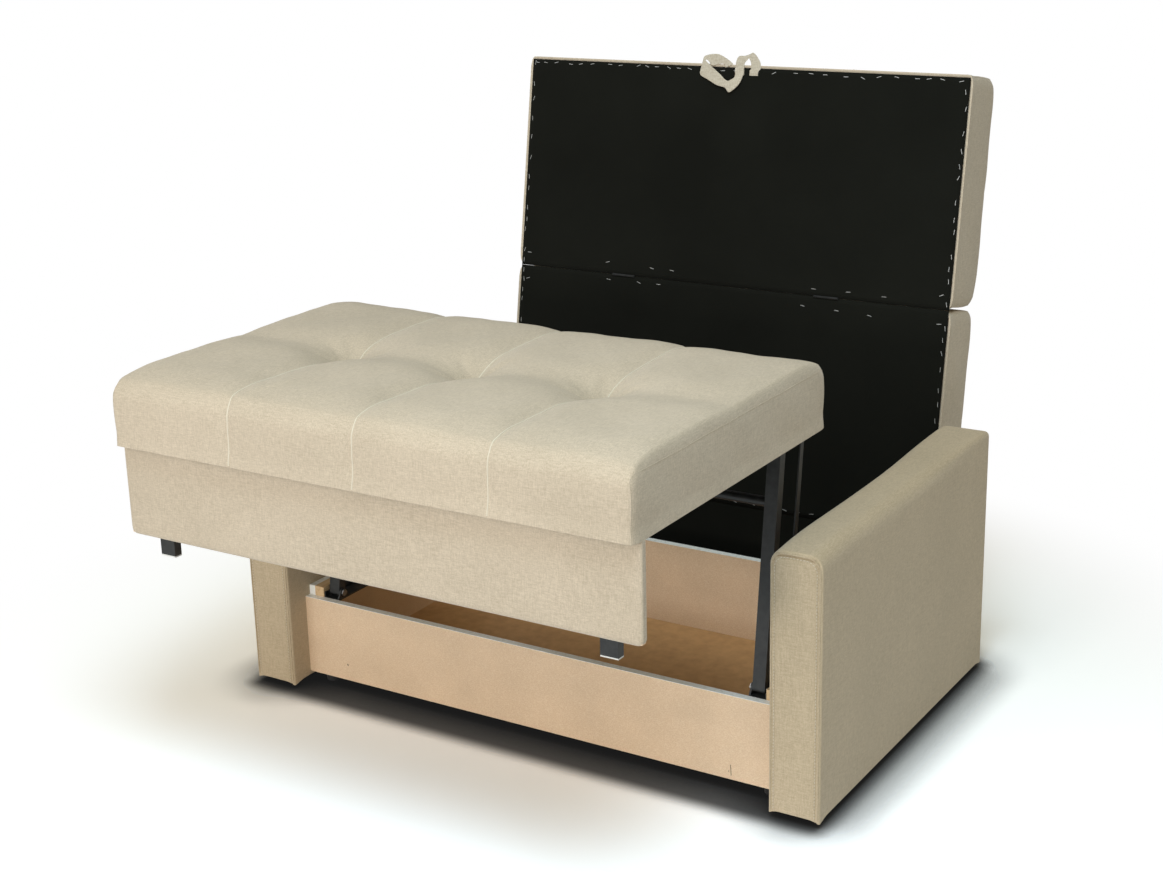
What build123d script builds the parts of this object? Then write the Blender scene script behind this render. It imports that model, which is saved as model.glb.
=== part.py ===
from build123d import *
from math import cos, radians, sin
import os

# A two-seat sofa bed with a storage box, half opened: the seat is swung up and forward on two
# tube arms, and the two rear mattress sections stand upright behind the box, end to end.
# Millimetres. X runs along the sofa, Y from front to back, Z up. The origin lies on the floor
# in the middle of the whole outline.

# Whole object
seat_width = 1290.0
seat_side_gap = 10.0          # each side, seat to armrest
back_side_gap = 20.0          # each side, rear mattress sections to armrest
running_gap = 0.3             # between bodies that move on each other
pin_clearance = 0.08          # radial, round every turning pin
overrun = 5.0                 # how far cuts pass through a face

# Armrests
armrest_width = 120.0
armrest_depth = 950.0
armrest_bottom = 18.0
armrest_top = 620.0
armrest_top_radius = 34.0
armrest_edge_radius = 9.0
armrest_pad = 10.0
armrest_top_pad = 24.0
armrest_panel = 16.0
armrest_rail = 40.0
armrest_fit = 0.2             # upholstery round its frame

# Storage box
board = 18.0
box_front = 63.0              # front face behind the armrest fronts
box_bottom = 28.0
side_top = 254.0
front_top = 229.3
rear_inner_face = 748.0
side_end = 945.0
edge_band = 1.0
floor_thickness = 3.2
groove_depth = 6.0
groove_fit = 0.1
floor_rise = 3.2              # underside of the floor above the boards' bottom edges
stretcher_height = 60.0
stretcher_thickness = 25.0
corner_block = 45.0
corner_block_height = 90.0
batten_width = 27.0
batten_height = 40.0
foot_radius = 20.0
foot_taper = 3.0
foot_screw_radius = 3.0
foot_screw_grip = 30.0
armrest_bolt_radius = 4.0
armrest_bolt_head_radius = 9.0
armrest_bolt_head = 4.0
armrest_bolt_height = 120.0
armrest_bolt_share = (0.24, 0.72)    # places along the armrest
bolt_clearance = 0.2

# Swing arms
arm_length = 541.0            # pivot to pivot
arm_lean = 7.7                # degrees behind upright, as it stands
arm_tube_width = 30.0
arm_tube_depth = 24.0
tube_wall = 1.5
arm_plate_gap = 6.0           # arm to the bracket plate beside it
arm_pivot_y = 104.0
arm_pivot_z = 241.8
pivot_radius = 5.0
pivot_head_radius = 9.0
pivot_head = 4.0
cross_tube_radius = 11.0
cross_tube_below = 129.0      # from the upper pivot, along the arm
bracket_plate = 4.0
bracket_margin = 20.0         # bracket past its outermost pivots
bracket_flange = 3.6

# Control links: they keep the seat level as the arms swing
link_offset = 82.0            # behind the arms' pivots
link_gap = 2.2                # arm to link
link_thickness = 3.2
link_width = 16.0
link_pin_radius = 4.0
link_play = 0.6               # upper holes, drawn open

# Mattress sections: depth is front to back when they lie flat
seat_depth = 818.0
pivot_to_seat_rear = 117.5
edge_height = 143.0           # height of a cushion's edges
crown_height = 156.0          # top of its pillows
seam_height = 149.0           # pillows where a long seam holds them down
seam_edge_height = 140.0
cross_seam_height = 146.0     # the seam across the middle
tuft_height = 120.0           # the deep tufts where seams cross
side_shoulder = 32.0          # how far in a cushion's ends reach their full height
end_height = 131.0
side_draw = 4.0               # how far its sides pull in at top and bottom
end_draw = 5.0
pillow_shares = (1 / 4, 1 / 2, 3 / 4)    # places across each pillow
edge_radius = 22.0
back_extra = 9.0              # rear sections are this much thicker than the seat
pillows = 4
frame_rail = 25.0
side_rail_width = 84.0
end_rail_width = 70.0
middle_rail_width = 60.0
rim = 10.0                    # padding and cover round the frame
rim_fit = 0.2
deck = 3.2
cloth = 0.8
cloth_inset = 1.0
rear_cloth_inset = 2.0        # rear cloth to the hinge plates

# Seat: apron and front legs
apron_setback = 25.0
apron_thickness = 20.0
apron_height = 208.0
apron_cover = 3.0
apron_radius = 12.0
leg_width = 40.0
leg_depth = 20.0
leg_to_edge = 85.0            # leg centre in from the seat's end
leg_plate = 3.0
leg_plate_margin = 12.0
plug_flange = 3.0
plug_insert = 20.0
plug_fit = 0.15

# Rear sections: they lean back, dark underside to the front
back_lean = 9.4               # degrees
back_plane_y = 935.0          # underside plane at the reference height
back_plane_z = 269.0
lower_start = 50.0            # along the slope from the reference point
fold_at = 620.0
upper_end = 1190.0
rear_pivot_along = -30.0
rear_pivot_front = 16.5       # in front of the underside plane

# Fold hinges between the rear sections
fold_axis_front = 1.5
knuckle_radius = 3.0
fold_pin_radius = 1.5
knuckle_length = 22.0
knuckle_gap = 0.5
leaf = 1.4
leaf_reach = 46.0
leaf_fit = 0.1
fold_gap = 4.0                # section ends to the fold axis, along the slope
fold_hinge_share = 0.47       # places on the half width

# Rear hinges between the lower section and the box
hinge_plate = 5.0
hinge_plate_inset = 20.0      # hinge plate to side board
hinge_reach = 105.0           # how far the plate runs up inside the section
hinge_start = 1.2             # behind the underside plane
hinge_depth = 21.0
hinge_eye_radius = 13.0
fixed_plate = 3.0
fixed_plate_width = 58.0
fixed_plate_height = 44.0
rear_pin_radius = 5.0
rear_pin_head = 3.0

# Pull strap
strap_width = 24.0
strap_thickness = 1.6
strap_span = 64.0             # across its two fixings
strap_turn = 28.0             # outer radius where the loop turns
strap_left = 119.0            # left turn, from the middle of the fixings
strap_right = 10.0            # right turn
strap_tip = 45.0              # lowest turn, to the left
strap_sag = 22.0              # lowest turn below the other two
strap_off_cloth = 2.2
strap_axis_front = 2.0
strap_below_end = 10.0        # turning line below the upper end
strap_fixing = 1.9
strap_fixing_length = 14.0
strap_offset = 27.0           # to the right of the middle

half_seat = seat_width / 2
half_inner = half_seat + seat_side_gap
back_width = 2 * (half_inner - back_side_gap)
leg_centre = half_seat - leg_to_edge
seat_bottom_closed = side_top + running_gap
arm_top_offset_y = arm_length * sin(radians(arm_lean))
arm_top_offset_z = arm_length * cos(radians(arm_lean))
upper_pivot_y = arm_pivot_y + arm_top_offset_y
upper_pivot_z = arm_pivot_z + arm_top_offset_z
pivot_below_seat = seat_bottom_closed - arm_pivot_z
seat_bottom = upper_pivot_z + pivot_below_seat
seat_front_open = seat_depth - pivot_to_seat_rear - upper_pivot_y    # ahead of the armrest fronts
front_extreme = -seat_front_open
lean = radians(back_lean)
rear_extreme = back_plane_y + upper_end * sin(lean) + (crown_height + back_extra) * cos(lean)
centre_y = (front_extreme + rear_extreme) / 2

os.makedirs("parts", exist_ok=True)


def save(piece, name):
    """Labels a finished piece and writes it to its file."""
    piece.label = name
    export_step(piece, f"parts/{name}.step")
    return piece


def y_at(y):
    """A place measured from the armrest fronts, in the part's own frame."""
    return y - centre_y


def block(x0, x1, y0, y1, z0, z1):
    """A rectangular board between three pairs of faces; y is measured from the armrest fronts."""
    with BuildPart() as made:
        with BuildSketch(Plane.XY.offset(z0)):
            with Locations(((x0 + x1) / 2, y_at((y0 + y1) / 2))):
                Rectangle(x1 - x0, y1 - y0)
        extrude(amount=z1 - z0)
    return made.part


def slab(plane, x0, x1, s0, s1, t0, t1):
    """A rectangular piece on a plane: x across, s along it, t off it."""
    with BuildPart() as made:
        with BuildSketch(plane.offset(t0)):
            with Locations(((x0 + x1) / 2, (s0 + s1) / 2)):
                Rectangle(x1 - x0, s1 - s0)
        extrude(amount=t1 - t0)
    return made.part


def rod(x0, x1, y, z, radius):
    """A round bar along X between two faces; y is measured from the armrest fronts."""
    with BuildPart() as made:
        with BuildSketch(Plane.YZ.offset(min(x0, x1))):
            with Locations((y_at(y), z)):
                Circle(radius)
        extrude(amount=abs(x1 - x0))
    return made.part


def bolt_head(x0, x1, y, z, radius):
    """A hexagon head along X between two faces; y is measured from the armrest fronts."""
    with BuildPart() as made:
        with BuildSketch(Plane.YZ.offset(min(x0, x1))):
            with Locations((y_at(y), z)):
                RegularPolygon(radius, 6)
        extrude(amount=abs(x1 - x0))
    return made.part


def both(x0, x1):
    """The same stretch of X on the left and on the right."""
    return ((-x1, -x0, "left"), (x0, x1, "right"))


# Storage box
board_inner = half_inner - board
box_inner_front = box_front + board
groove_z = box_bottom + floor_rise - groove_fit
groove_height = floor_thickness + 2 * groove_fit
floor_bottom = box_bottom + floor_rise
floor_top = floor_bottom + floor_thickness

with BuildPart() as front_panel:
    add(block(-half_inner, half_inner, box_front, box_inner_front, box_bottom, front_top - edge_band))
    add(block(-board_inner - groove_depth, board_inner + groove_depth, box_inner_front - groove_depth,
              box_inner_front + overrun, groove_z, groove_z + groove_height), mode=Mode.SUBTRACT)
save(front_panel.part, "front_panel")

with BuildPart() as rear_panel:
    add(block(-board_inner, board_inner, rear_inner_face, rear_inner_face + board, box_bottom,
              side_top - edge_band))
    add(block(-board_inner - overrun, board_inner + overrun, rear_inner_face - overrun,
              rear_inner_face + groove_depth, groove_z, groove_z + groove_height), mode=Mode.SUBTRACT)
save(rear_panel.part, "rear_panel")

armrest_bolt_y = [armrest_depth * share for share in armrest_bolt_share]
for x0, x1, side in both(board_inner, half_inner):
    inner = x1 if side == "left" else x0
    outward = -1 if side == "left" else 1
    with BuildPart() as side_board:
        add(block(x0, x1, box_inner_front + edge_band, side_end, box_bottom, side_top - edge_band))
        groove = sorted((inner - outward * overrun, inner + outward * groove_depth))
        add(block(*groove, box_inner_front - overrun, rear_inner_face + groove_depth, groove_z,
                  groove_z + groove_height), mode=Mode.SUBTRACT)
        for bolt_y in armrest_bolt_y:
            add(rod(x0 - overrun, x1 + overrun, bolt_y, armrest_bolt_height,
                    armrest_bolt_radius + bolt_clearance), mode=Mode.SUBTRACT)
    save(side_board.part, f"side_board_{side}")

foot_places = [(sx * (board_inner - corner_block / 2), y) for sx in (-1, 1)
               for y in (box_inner_front + corner_block / 2, rear_inner_face - corner_block / 2)]

with BuildPart() as floor_panel:
    reach = board_inner + groove_depth
    add(block(-reach, reach, box_inner_front - groove_depth, rear_inner_face + groove_depth,
              floor_bottom, floor_top))
    with BuildSketch(Plane.XY.offset(floor_bottom)):
        with Locations(*[(x, y_at(y)) for x, y in foot_places]):
            Circle(foot_screw_radius + bolt_clearance)
    extrude(amount=floor_thickness, mode=Mode.SUBTRACT)
save(floor_panel.part, "floor_panel")

with BuildPart() as rear_stretcher:
    add(block(-board_inner, board_inner, side_end - stretcher_thickness, side_end, box_bottom,
              box_bottom + stretcher_height))
save(rear_stretcher.part, "rear_stretcher")

with BuildPart() as edge_bands:
    add(block(-half_inner, half_inner, box_front, box_inner_front, front_top - edge_band, front_top))
    add(block(-board_inner, board_inner, rear_inner_face, rear_inner_face + board,
              side_top - edge_band, side_top))
    for x0, x1, side in both(board_inner, half_inner):
        add(block(x0, x1, box_inner_front, side_end, side_top - edge_band, side_top))
        add(block(x0, x1, box_inner_front, box_inner_front + edge_band, box_bottom,
                  side_top - edge_band))
    groove_x = board_inner + groove_depth
    add(block(-groove_x, groove_x, box_inner_front - overrun, box_inner_front + overrun, groove_z,
              groove_z + groove_height), mode=Mode.SUBTRACT)
save(edge_bands.part, "edge_bands")

with BuildPart() as corner_blocks:
    with BuildSketch(Plane.XY.offset(floor_top)):
        with Locations(*[(x, y_at(y)) for x, y in foot_places]):
            Rectangle(corner_block, corner_block)
            Circle(foot_screw_radius, mode=Mode.SUBTRACT)
    extrude(amount=corner_block_height)
save(corner_blocks.part, "corner_blocks")

for x0, x1, side in both(board_inner - batten_width, board_inner):
    with BuildPart() as side_batten:
        add(block(x0, x1, box_inner_front, rear_inner_face, side_top - batten_height, side_top))
    save(side_batten.part, f"side_batten_{side}")

with BuildPart() as foot:
    with BuildSketch(Plane.XZ):
        bore = foot_screw_radius + bolt_clearance
        Polygon((0, 0), (foot_radius - foot_taper, 0), (foot_radius, floor_bottom), (bore, floor_bottom),
                (bore, foot_taper), (0, foot_taper), align=None)
    revolve(axis=Axis.Z)

with BuildPart() as feet:
    with Locations(*[(x, y_at(y), 0) for x, y in foot_places]):
        add(foot.part)
save(feet.part, "feet")

with BuildPart() as foot_screws:
    with BuildSketch(Plane.XY.offset(foot_taper)):
        with Locations(*[(x, y_at(y)) for x, y in foot_places]):
            Circle(foot_screw_radius)
    extrude(amount=floor_top + foot_screw_grip - foot_taper)
save(foot_screws.part, "foot_screws")

# Armrests
for x0, x1, side in both(half_inner, half_inner + armrest_width):
    inner = x1 if side == "left" else x0
    outward = -1 if side == "left" else 1
    frame_x0, frame_x1 = x0 + armrest_pad, x1 - armrest_pad
    frame_y0, frame_y1 = armrest_pad, armrest_depth - armrest_pad
    frame_top = armrest_top - armrest_top_pad
    with BuildPart() as upholstery:
        with BuildSketch(Plane.XZ.offset(-y_at(0))):
            with BuildLine():
                Polyline((x0, armrest_bottom), (x1, armrest_bottom),
                         (x1, armrest_top - armrest_top_radius))
                RadiusArc((x1, armrest_top - armrest_top_radius),
                          (x1 - armrest_top_radius, armrest_top), -armrest_top_radius)
                Line((x1 - armrest_top_radius, armrest_top), (x0 + armrest_top_radius, armrest_top))
                RadiusArc((x0 + armrest_top_radius, armrest_top),
                          (x0, armrest_top - armrest_top_radius), -armrest_top_radius)
                Line((x0, armrest_top - armrest_top_radius), (x0, armrest_bottom))
            make_face()
        extrude(amount=-armrest_depth)
        ends = upholstery.faces().sort_by(Axis.Y)
        fillet(ends[0].edges() + ends[-1].edges(), radius=armrest_edge_radius)
        add(block(frame_x0 - armrest_fit, frame_x1 + armrest_fit, frame_y0 - armrest_fit,
                  frame_y1 + armrest_fit, armrest_bottom - overrun, frame_top + armrest_fit),
            mode=Mode.SUBTRACT)
        for bolt_y in armrest_bolt_y:
            hole = sorted((inner - outward * overrun, inner + outward * (armrest_pad + overrun)))
            add(rod(*hole, bolt_y, armrest_bolt_height, armrest_bolt_radius + bolt_clearance),
                mode=Mode.SUBTRACT)
    save(upholstery.part, f"armrest_upholstery_{side}")

    with BuildPart() as panels:
        add(block(frame_x0, frame_x0 + armrest_panel, frame_y0, frame_y1, armrest_bottom, frame_top))
        add(block(frame_x1 - armrest_panel, frame_x1, frame_y0, frame_y1, armrest_bottom, frame_top))
        hole = sorted((inner, inner + outward * (armrest_pad + armrest_panel + overrun)))
        for bolt_y in armrest_bolt_y:
            add(rod(*hole, bolt_y, armrest_bolt_height, armrest_bolt_radius + bolt_clearance),
                mode=Mode.SUBTRACT)
    save(panels.part, f"armrest_panels_{side}")

    rail_x0, rail_x1 = frame_x0 + armrest_panel, frame_x1 - armrest_panel
    with BuildPart() as rails:
        add(block(rail_x0, rail_x1, frame_y0, frame_y0 + armrest_rail, armrest_bottom, frame_top))
        add(block(rail_x0, rail_x1, frame_y1 - armrest_rail, frame_y1, armrest_bottom, frame_top))
        for z in (armrest_bottom, frame_top - armrest_rail):
            add(block(rail_x0, rail_x1, frame_y0 + armrest_rail, frame_y1 - armrest_rail, z,
                      z + armrest_rail))
    save(rails.part, f"armrest_rails_{side}")

with BuildPart() as armrest_bolts:
    bolt_end = half_inner + armrest_pad + armrest_panel
    for outward in (-1, 1):
        for bolt_y in armrest_bolt_y:
            add(bolt_head(*sorted((outward * (board_inner - armrest_bolt_head), outward * board_inner)),
                          bolt_y, armrest_bolt_height, armrest_bolt_head_radius))
            add(rod(*sorted((outward * board_inner, outward * bolt_end)), bolt_y,
                    armrest_bolt_height, armrest_bolt_radius))
save(armrest_bolts.part, "armrest_bolts")

# Swing arms: two tubes, a cross tube, and the pivot brackets and bolts at both ends
plate_inner = board_inner - batten_width - bracket_plate
arm_outer_face = plate_inner - arm_plate_gap
arm_inner_face = arm_outer_face - arm_tube_width
link_inner_face = arm_outer_face + link_gap
side_plane = Plane(origin=(0, y_at(arm_pivot_y), arm_pivot_z), x_dir=(0, 1, 0), z_dir=(1, 0, 0))
arm_angle = 90 - arm_lean

for x0, x1, side in both(arm_inner_face, arm_outer_face):
    with BuildPart() as swing_arm:
        with BuildSketch(side_plane.offset(x0)):
            with Locations((arm_top_offset_y / 2, arm_top_offset_z / 2)):
                SlotCenterToCenter(arm_length, arm_tube_depth, rotation=arm_angle)
        extrude(amount=arm_tube_width)
        with BuildSketch(side_plane.offset(x0 + tube_wall)):
            with Locations((arm_top_offset_y / 2, arm_top_offset_z / 2)):
                Rectangle(arm_length + 2 * arm_tube_depth, arm_tube_depth - 2 * tube_wall,
                          rotation=arm_angle)
        extrude(amount=arm_tube_width - 2 * tube_wall, mode=Mode.SUBTRACT)
        with BuildSketch(side_plane.offset(x0)):
            with Locations((0, 0), (arm_top_offset_y, arm_top_offset_z)):
                Circle(pivot_radius + pin_clearance)
        extrude(amount=arm_tube_width, mode=Mode.SUBTRACT)
    save(swing_arm.part, f"swing_arm_{side}")

cross_tube_reach = arm_length - cross_tube_below
cross_y = arm_pivot_y + cross_tube_reach * sin(radians(arm_lean))
cross_z = arm_pivot_z + cross_tube_reach * cos(radians(arm_lean))
with BuildPart() as cross_tube:
    with BuildSketch(Plane.YZ.offset(-arm_inner_face)):
        with Locations((y_at(cross_y), cross_z)):
            Circle(cross_tube_radius)
            Circle(cross_tube_radius - tube_wall, mode=Mode.SUBTRACT)
    extrude(amount=2 * arm_inner_face)
save(cross_tube.part, "cross_tube")

link_outer_face = link_inner_face + link_thickness
pin_end = link_inner_face - 2 * running_gap
ear_outer = arm_inner_face - running_gap
ear_inner = ear_outer - bracket_plate


def tongue(plane, y0, z0, radius, foot_y0, foot_y1, foot_z, x0, x1):
    """A plate with a rounded eye at (y0, z0) and straight sides to a foot line."""
    with BuildPart() as made:
        with BuildSketch(plane.offset(x0)):
            with Locations((y0, z0)):
                Circle(radius)
            with BuildLine():
                Polyline((foot_y0, foot_z), (y0 - radius, z0), (y0 + radius, z0), (foot_y1, foot_z),
                         (foot_y0, foot_z))
            make_face()
        extrude(amount=x1 - x0)
    return made.part


eye_radius = arm_tube_depth / 2
web_top = -eye_radius - 2 * running_gap
for x0, x1, side in both(ear_inner, plate_inner + bracket_plate):
    ear = sorted((x1, x1 - bracket_plate) if side == "left" else (x0, x0 + bracket_plate))
    plate = sorted((x0, x0 + bracket_plate) if side == "left" else (x1 - bracket_plate, x1))
    with BuildPart() as arm_bracket:
        add(tongue(side_plane, 0, 0, eye_radius, -bracket_margin, bracket_margin, web_top, *ear))
        with BuildSketch(side_plane.offset(plate[0])):
            with Locations((link_offset / 2, web_top / 2)):
                Rectangle(link_offset + 2 * bracket_margin, -web_top)
            with Locations((link_offset, 0)):
                Circle(eye_radius)
        extrude(amount=bracket_plate)
        with BuildSketch(side_plane.offset(x0)):
            with Locations((link_offset / 2, web_top - bracket_plate / 2)):
                Rectangle(link_offset + 2 * bracket_margin, bracket_plate)
        extrude(amount=x1 - x0)
        for pivot, radius, span in ((0, pivot_radius, ear), (link_offset, link_pin_radius, plate)):
            with BuildSketch(side_plane.offset(span[0])):
                with Locations((pivot, 0)):
                    Circle(radius)
            extrude(amount=bracket_plate, mode=Mode.SUBTRACT)
    save(arm_bracket.part, f"arm_bracket_{side}")

with BuildPart() as arm_pivot_bolts:
    for outward in (-1, 1):
        add(bolt_head(*sorted((outward * (ear_inner - pivot_head), outward * ear_inner)), arm_pivot_y,
                      arm_pivot_z, pivot_head_radius))
        add(rod(*sorted((outward * ear_inner, outward * pin_end)), arm_pivot_y, arm_pivot_z,
                pivot_radius))
save(arm_pivot_bolts.part, "arm_pivot_bolts")

with BuildPart() as link_pins_lower:
    for outward in (-1, 1):
        add(rod(*sorted((outward * (pin_end + running_gap), outward * (plate_inner + bracket_plate))),
                arm_pivot_y + link_offset, arm_pivot_z, link_pin_radius))
save(link_pins_lower.part, "link_pins_lower")

for x0, x1, side in both(link_inner_face, link_outer_face):
    with BuildPart() as control_link:
        with BuildSketch(side_plane.offset(x0)):
            with Locations((link_offset + arm_top_offset_y / 2, arm_top_offset_z / 2)):
                SlotCenterToCenter(arm_length, link_width, rotation=arm_angle)
            with Locations((link_offset, 0)):
                Circle(link_pin_radius + pin_clearance, mode=Mode.SUBTRACT)
            with Locations((link_offset + arm_top_offset_y, arm_top_offset_z)):
                Circle(link_pin_radius + link_play, mode=Mode.SUBTRACT)
        extrude(amount=link_thickness)
    save(control_link.part, f"control_link_{side}")

# Mattress sections
seat_plane = Plane(origin=(0, y_at(-seat_front_open), seat_bottom), x_dir=(1, 0, 0), z_dir=(0, 0, 1))
back_plane = Plane(origin=(0, y_at(back_plane_y), back_plane_z), x_dir=(-1, 0, 0),
                   z_dir=(0, cos(lean), -sin(lean)))


def profile(plane, x, s0, s1, draw, edge, crown, valley):
    """The outline of a cushion where a plane across it stands at x: lines and arcs."""
    across = Plane(origin=plane.from_local_coords((x, 0, 0)), x_dir=plane.y_dir, z_dir=plane.x_dir)
    a, b, middle = s0 + draw, s1 - draw, (s0 + s1) / 2
    bend = edge_radius * (1 - sin(radians(45)))
    with BuildSketch(across) as outline:
        with BuildLine():
            Line((a, 0), (b, 0))
            ThreePointArc((b, 0), (b + side_draw, (edge - edge_radius) / 2), (b, edge - edge_radius))
            ThreePointArc((b, edge - edge_radius), (b - bend, edge - bend), (b - edge_radius, edge))
            ThreePointArc((b - edge_radius, edge), ((b - edge_radius + middle) / 2, crown),
                          (middle, valley))
            ThreePointArc((middle, valley), ((a + edge_radius + middle) / 2, crown),
                          (a + edge_radius, edge))
            ThreePointArc((a + edge_radius, edge), (a + bend, edge - bend), (a, edge - edge_radius))
            ThreePointArc((a, edge - edge_radius), (a - side_draw, (edge - edge_radius) / 2), (a, 0))
        make_face()
    return outline.sketch


def eased(low, high, share):
    """Sizes on the way from a seam's to a pillow's, rising as a parabola does."""
    lift = 1 - (2 * share - 1) ** 2
    return tuple(a + (b - a) * lift for a, b in zip(low, high))


def cushion(plane, width, s0, s1, rise):
    """A crowned cushion of four pillows by two, held down along its seams and at its tufts."""
    pitch = width / pillows
    full = (side_draw, edge_height + rise, crown_height + rise, cross_seam_height + rise)
    seam = (side_draw, seam_edge_height + rise, seam_height + rise, tuft_height + rise)
    end = (end_draw, end_height + rise, end_height + side_draw + rise, end_height + rise)
    shoulder = (side_draw, edge_height + rise, seam_height + rise, cross_seam_height + rise)
    stations = [(-width / 2, end), (-width / 2 + side_shoulder, shoulder)]
    for n in range(pillows):
        left = -width / 2 + n * pitch
        if n:
            stations.append((left, seam))
        for share in pillow_shares:
            held_by = n if share < 1 / 2 else n + 1
            low = seam if 0 < held_by < pillows else shoulder
            stations.append((left + share * pitch, eased(low, full, share)))
    stations += [(width / 2 - side_shoulder, shoulder), (width / 2, end)]
    with BuildPart() as made:
        loft(sections=[profile(plane, x, s0, s1, *sizes) for x, sizes in stations], ruled=True)
        pocket = (width / 2 - rim + rim_fit, s0 + rim - rim_fit, s1 - rim + rim_fit)
        add(slab(plane, -pocket[0], pocket[0], pocket[1], pocket[2], -overrun,
                 cloth + frame_rail + deck + rim_fit), mode=Mode.SUBTRACT)
    return made.part


def section(plane, width, s0, s1, name, rise=0.0, slots=(), rebates=(), cuts=()):
    """Frame, deck, cushion and dark underside cloth of one mattress section."""
    x_out, a, b = width / 2 - rim, s0 + rim, s1 - rim
    with BuildPart() as frame:
        for x0, x1, side in both(x_out - side_rail_width, x_out):
            add(slab(plane, x0, x1, a, b, cloth, cloth + frame_rail))
        inner = x_out - side_rail_width
        middle = (a + b) / 2
        for s, rail in ((a, end_rail_width), (middle - middle_rail_width / 2, middle_rail_width),
                        (b - end_rail_width, end_rail_width)):
            add(slab(plane, -inner, inner, s, s + rail, cloth, cloth + frame_rail))
        for rebate in rebates:
            add(slab(plane, *rebate), mode=Mode.SUBTRACT)
    save(frame.part, f"{name}_frame")
    with BuildPart() as sheet:
        add(slab(plane, -x_out, x_out, a, b, cloth + frame_rail, cloth + frame_rail + deck))
    save(sheet.part, f"{name}_deck")
    with BuildPart() as soft:
        add(cushion(plane, width, s0, s1, rise))
        for cut in cuts:
            add(slab(plane, *cut), mode=Mode.SUBTRACT)
    save(soft.part, f"{name}_cushion")
    with BuildPart() as underside:
        add(slab(plane, -x_out + cloth_inset, x_out - cloth_inset, a + cloth_inset, b - cloth_inset,
                 0, cloth))
        for slot in slots:
            add(slab(plane, *slot), mode=Mode.SUBTRACT)
    save(underside.part, f"{name}_underside_cloth")


# Seat
pivot_s = upper_pivot_y + seat_front_open
plate_outer = plate_inner + bracket_plate - running_gap
flange_s0, flange_s1 = pivot_s - bracket_margin, pivot_s + link_offset + bracket_margin
seat_slots = [(x0 - running_gap, x1 + running_gap, flange_s0 - running_gap, flange_s1 + running_gap,
               -overrun, overrun) for x0, x1, side in both(ear_inner, plate_outer)]
seat_rebates = [(x0 - rim_fit, x1 + rim_fit, flange_s0 - rim_fit, flange_s1 + rim_fit, -overrun,
                 bracket_flange + rim_fit) for x0, x1, side in both(ear_inner, plate_outer)]
section(seat_plane, seat_width, 0, seat_depth, "seat", slots=seat_slots, rebates=seat_rebates)

upper_side_plane = Plane(origin=(0, y_at(upper_pivot_y), upper_pivot_z), x_dir=(0, 1, 0),
                         z_dir=(1, 0, 0))
for x0, x1, side in both(ear_inner, plate_outer):
    ear = sorted((x1, x1 - bracket_plate) if side == "left" else (x0, x0 + bracket_plate))
    plate = sorted((x0, x0 + bracket_plate) if side == "left" else (x1 - bracket_plate, x1))
    with BuildPart() as seat_bracket:
        add(tongue(upper_side_plane, 0, 0, eye_radius, -bracket_margin, bracket_margin,
                   pivot_below_seat, *ear))
        add(tongue(upper_side_plane, link_offset, 0, eye_radius, link_offset - bracket_margin,
                   link_offset + bracket_margin, pivot_below_seat, *plate))
        with BuildSketch(upper_side_plane.offset(x0)):
            with Locations((link_offset / 2, pivot_below_seat + bracket_flange / 2)):
                Rectangle(link_offset + 2 * bracket_margin, bracket_flange)
        extrude(amount=x1 - x0)
        for pivot, radius, span in ((0, pivot_radius, ear), (link_offset, link_pin_radius, plate)):
            with BuildSketch(upper_side_plane.offset(span[0])):
                with Locations((pivot, 0)):
                    Circle(radius)
            extrude(amount=bracket_plate, mode=Mode.SUBTRACT)
    save(seat_bracket.part, f"seat_bracket_{side}")

with BuildPart() as seat_pivot_bolts:
    for outward in (-1, 1):
        add(bolt_head(*sorted((outward * (ear_inner - pivot_head), outward * ear_inner)), upper_pivot_y,
                      upper_pivot_z, pivot_head_radius))
        add(rod(*sorted((outward * ear_inner, outward * pin_end)), upper_pivot_y, upper_pivot_z,
                pivot_radius))
save(seat_pivot_bolts.part, "seat_pivot_bolts")

with BuildPart() as link_pins_upper:
    for outward in (-1, 1):
        add(rod(*sorted((outward * (pin_end + running_gap), outward * plate_outer)),
                upper_pivot_y + link_offset, upper_pivot_z, link_pin_radius))
save(link_pins_upper.part, "link_pins_upper")

apron_s0, apron_s1 = apron_setback, apron_setback + apron_thickness
front_face = Plane(origin=seat_plane.from_local_coords((0, apron_s0, 0)), x_dir=(1, 0, 0),
                   z_dir=(0, -1, 0))
with BuildPart() as apron_board:
    with BuildSketch(front_face.offset(-apron_cover)):
        with Locations((0, -(apron_height - apron_cover) / 2)):
            Rectangle(seat_width - 2 * apron_cover, apron_height - apron_cover)
    extrude(amount=-(apron_thickness - 2 * apron_cover))
save(apron_board.part, "apron_board")

with BuildPart() as apron_wrap:
    with BuildSketch(front_face):
        with BuildLine():
            Polyline((-half_seat, -apron_height + apron_radius), (-half_seat, 0),
                     (half_seat, 0), (half_seat, -apron_height + apron_radius))
            RadiusArc((half_seat, -apron_height + apron_radius),
                      (half_seat - apron_radius, -apron_height), apron_radius)
            Line((half_seat - apron_radius, -apron_height),
                 (-half_seat + apron_radius, -apron_height))
            RadiusArc((-half_seat + apron_radius, -apron_height),
                      (-half_seat, -apron_height + apron_radius), apron_radius)
        make_face()
    extrude(amount=-apron_thickness)
    add(apron_board.part, mode=Mode.SUBTRACT)
save(apron_wrap.part, "apron_cover")

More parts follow.
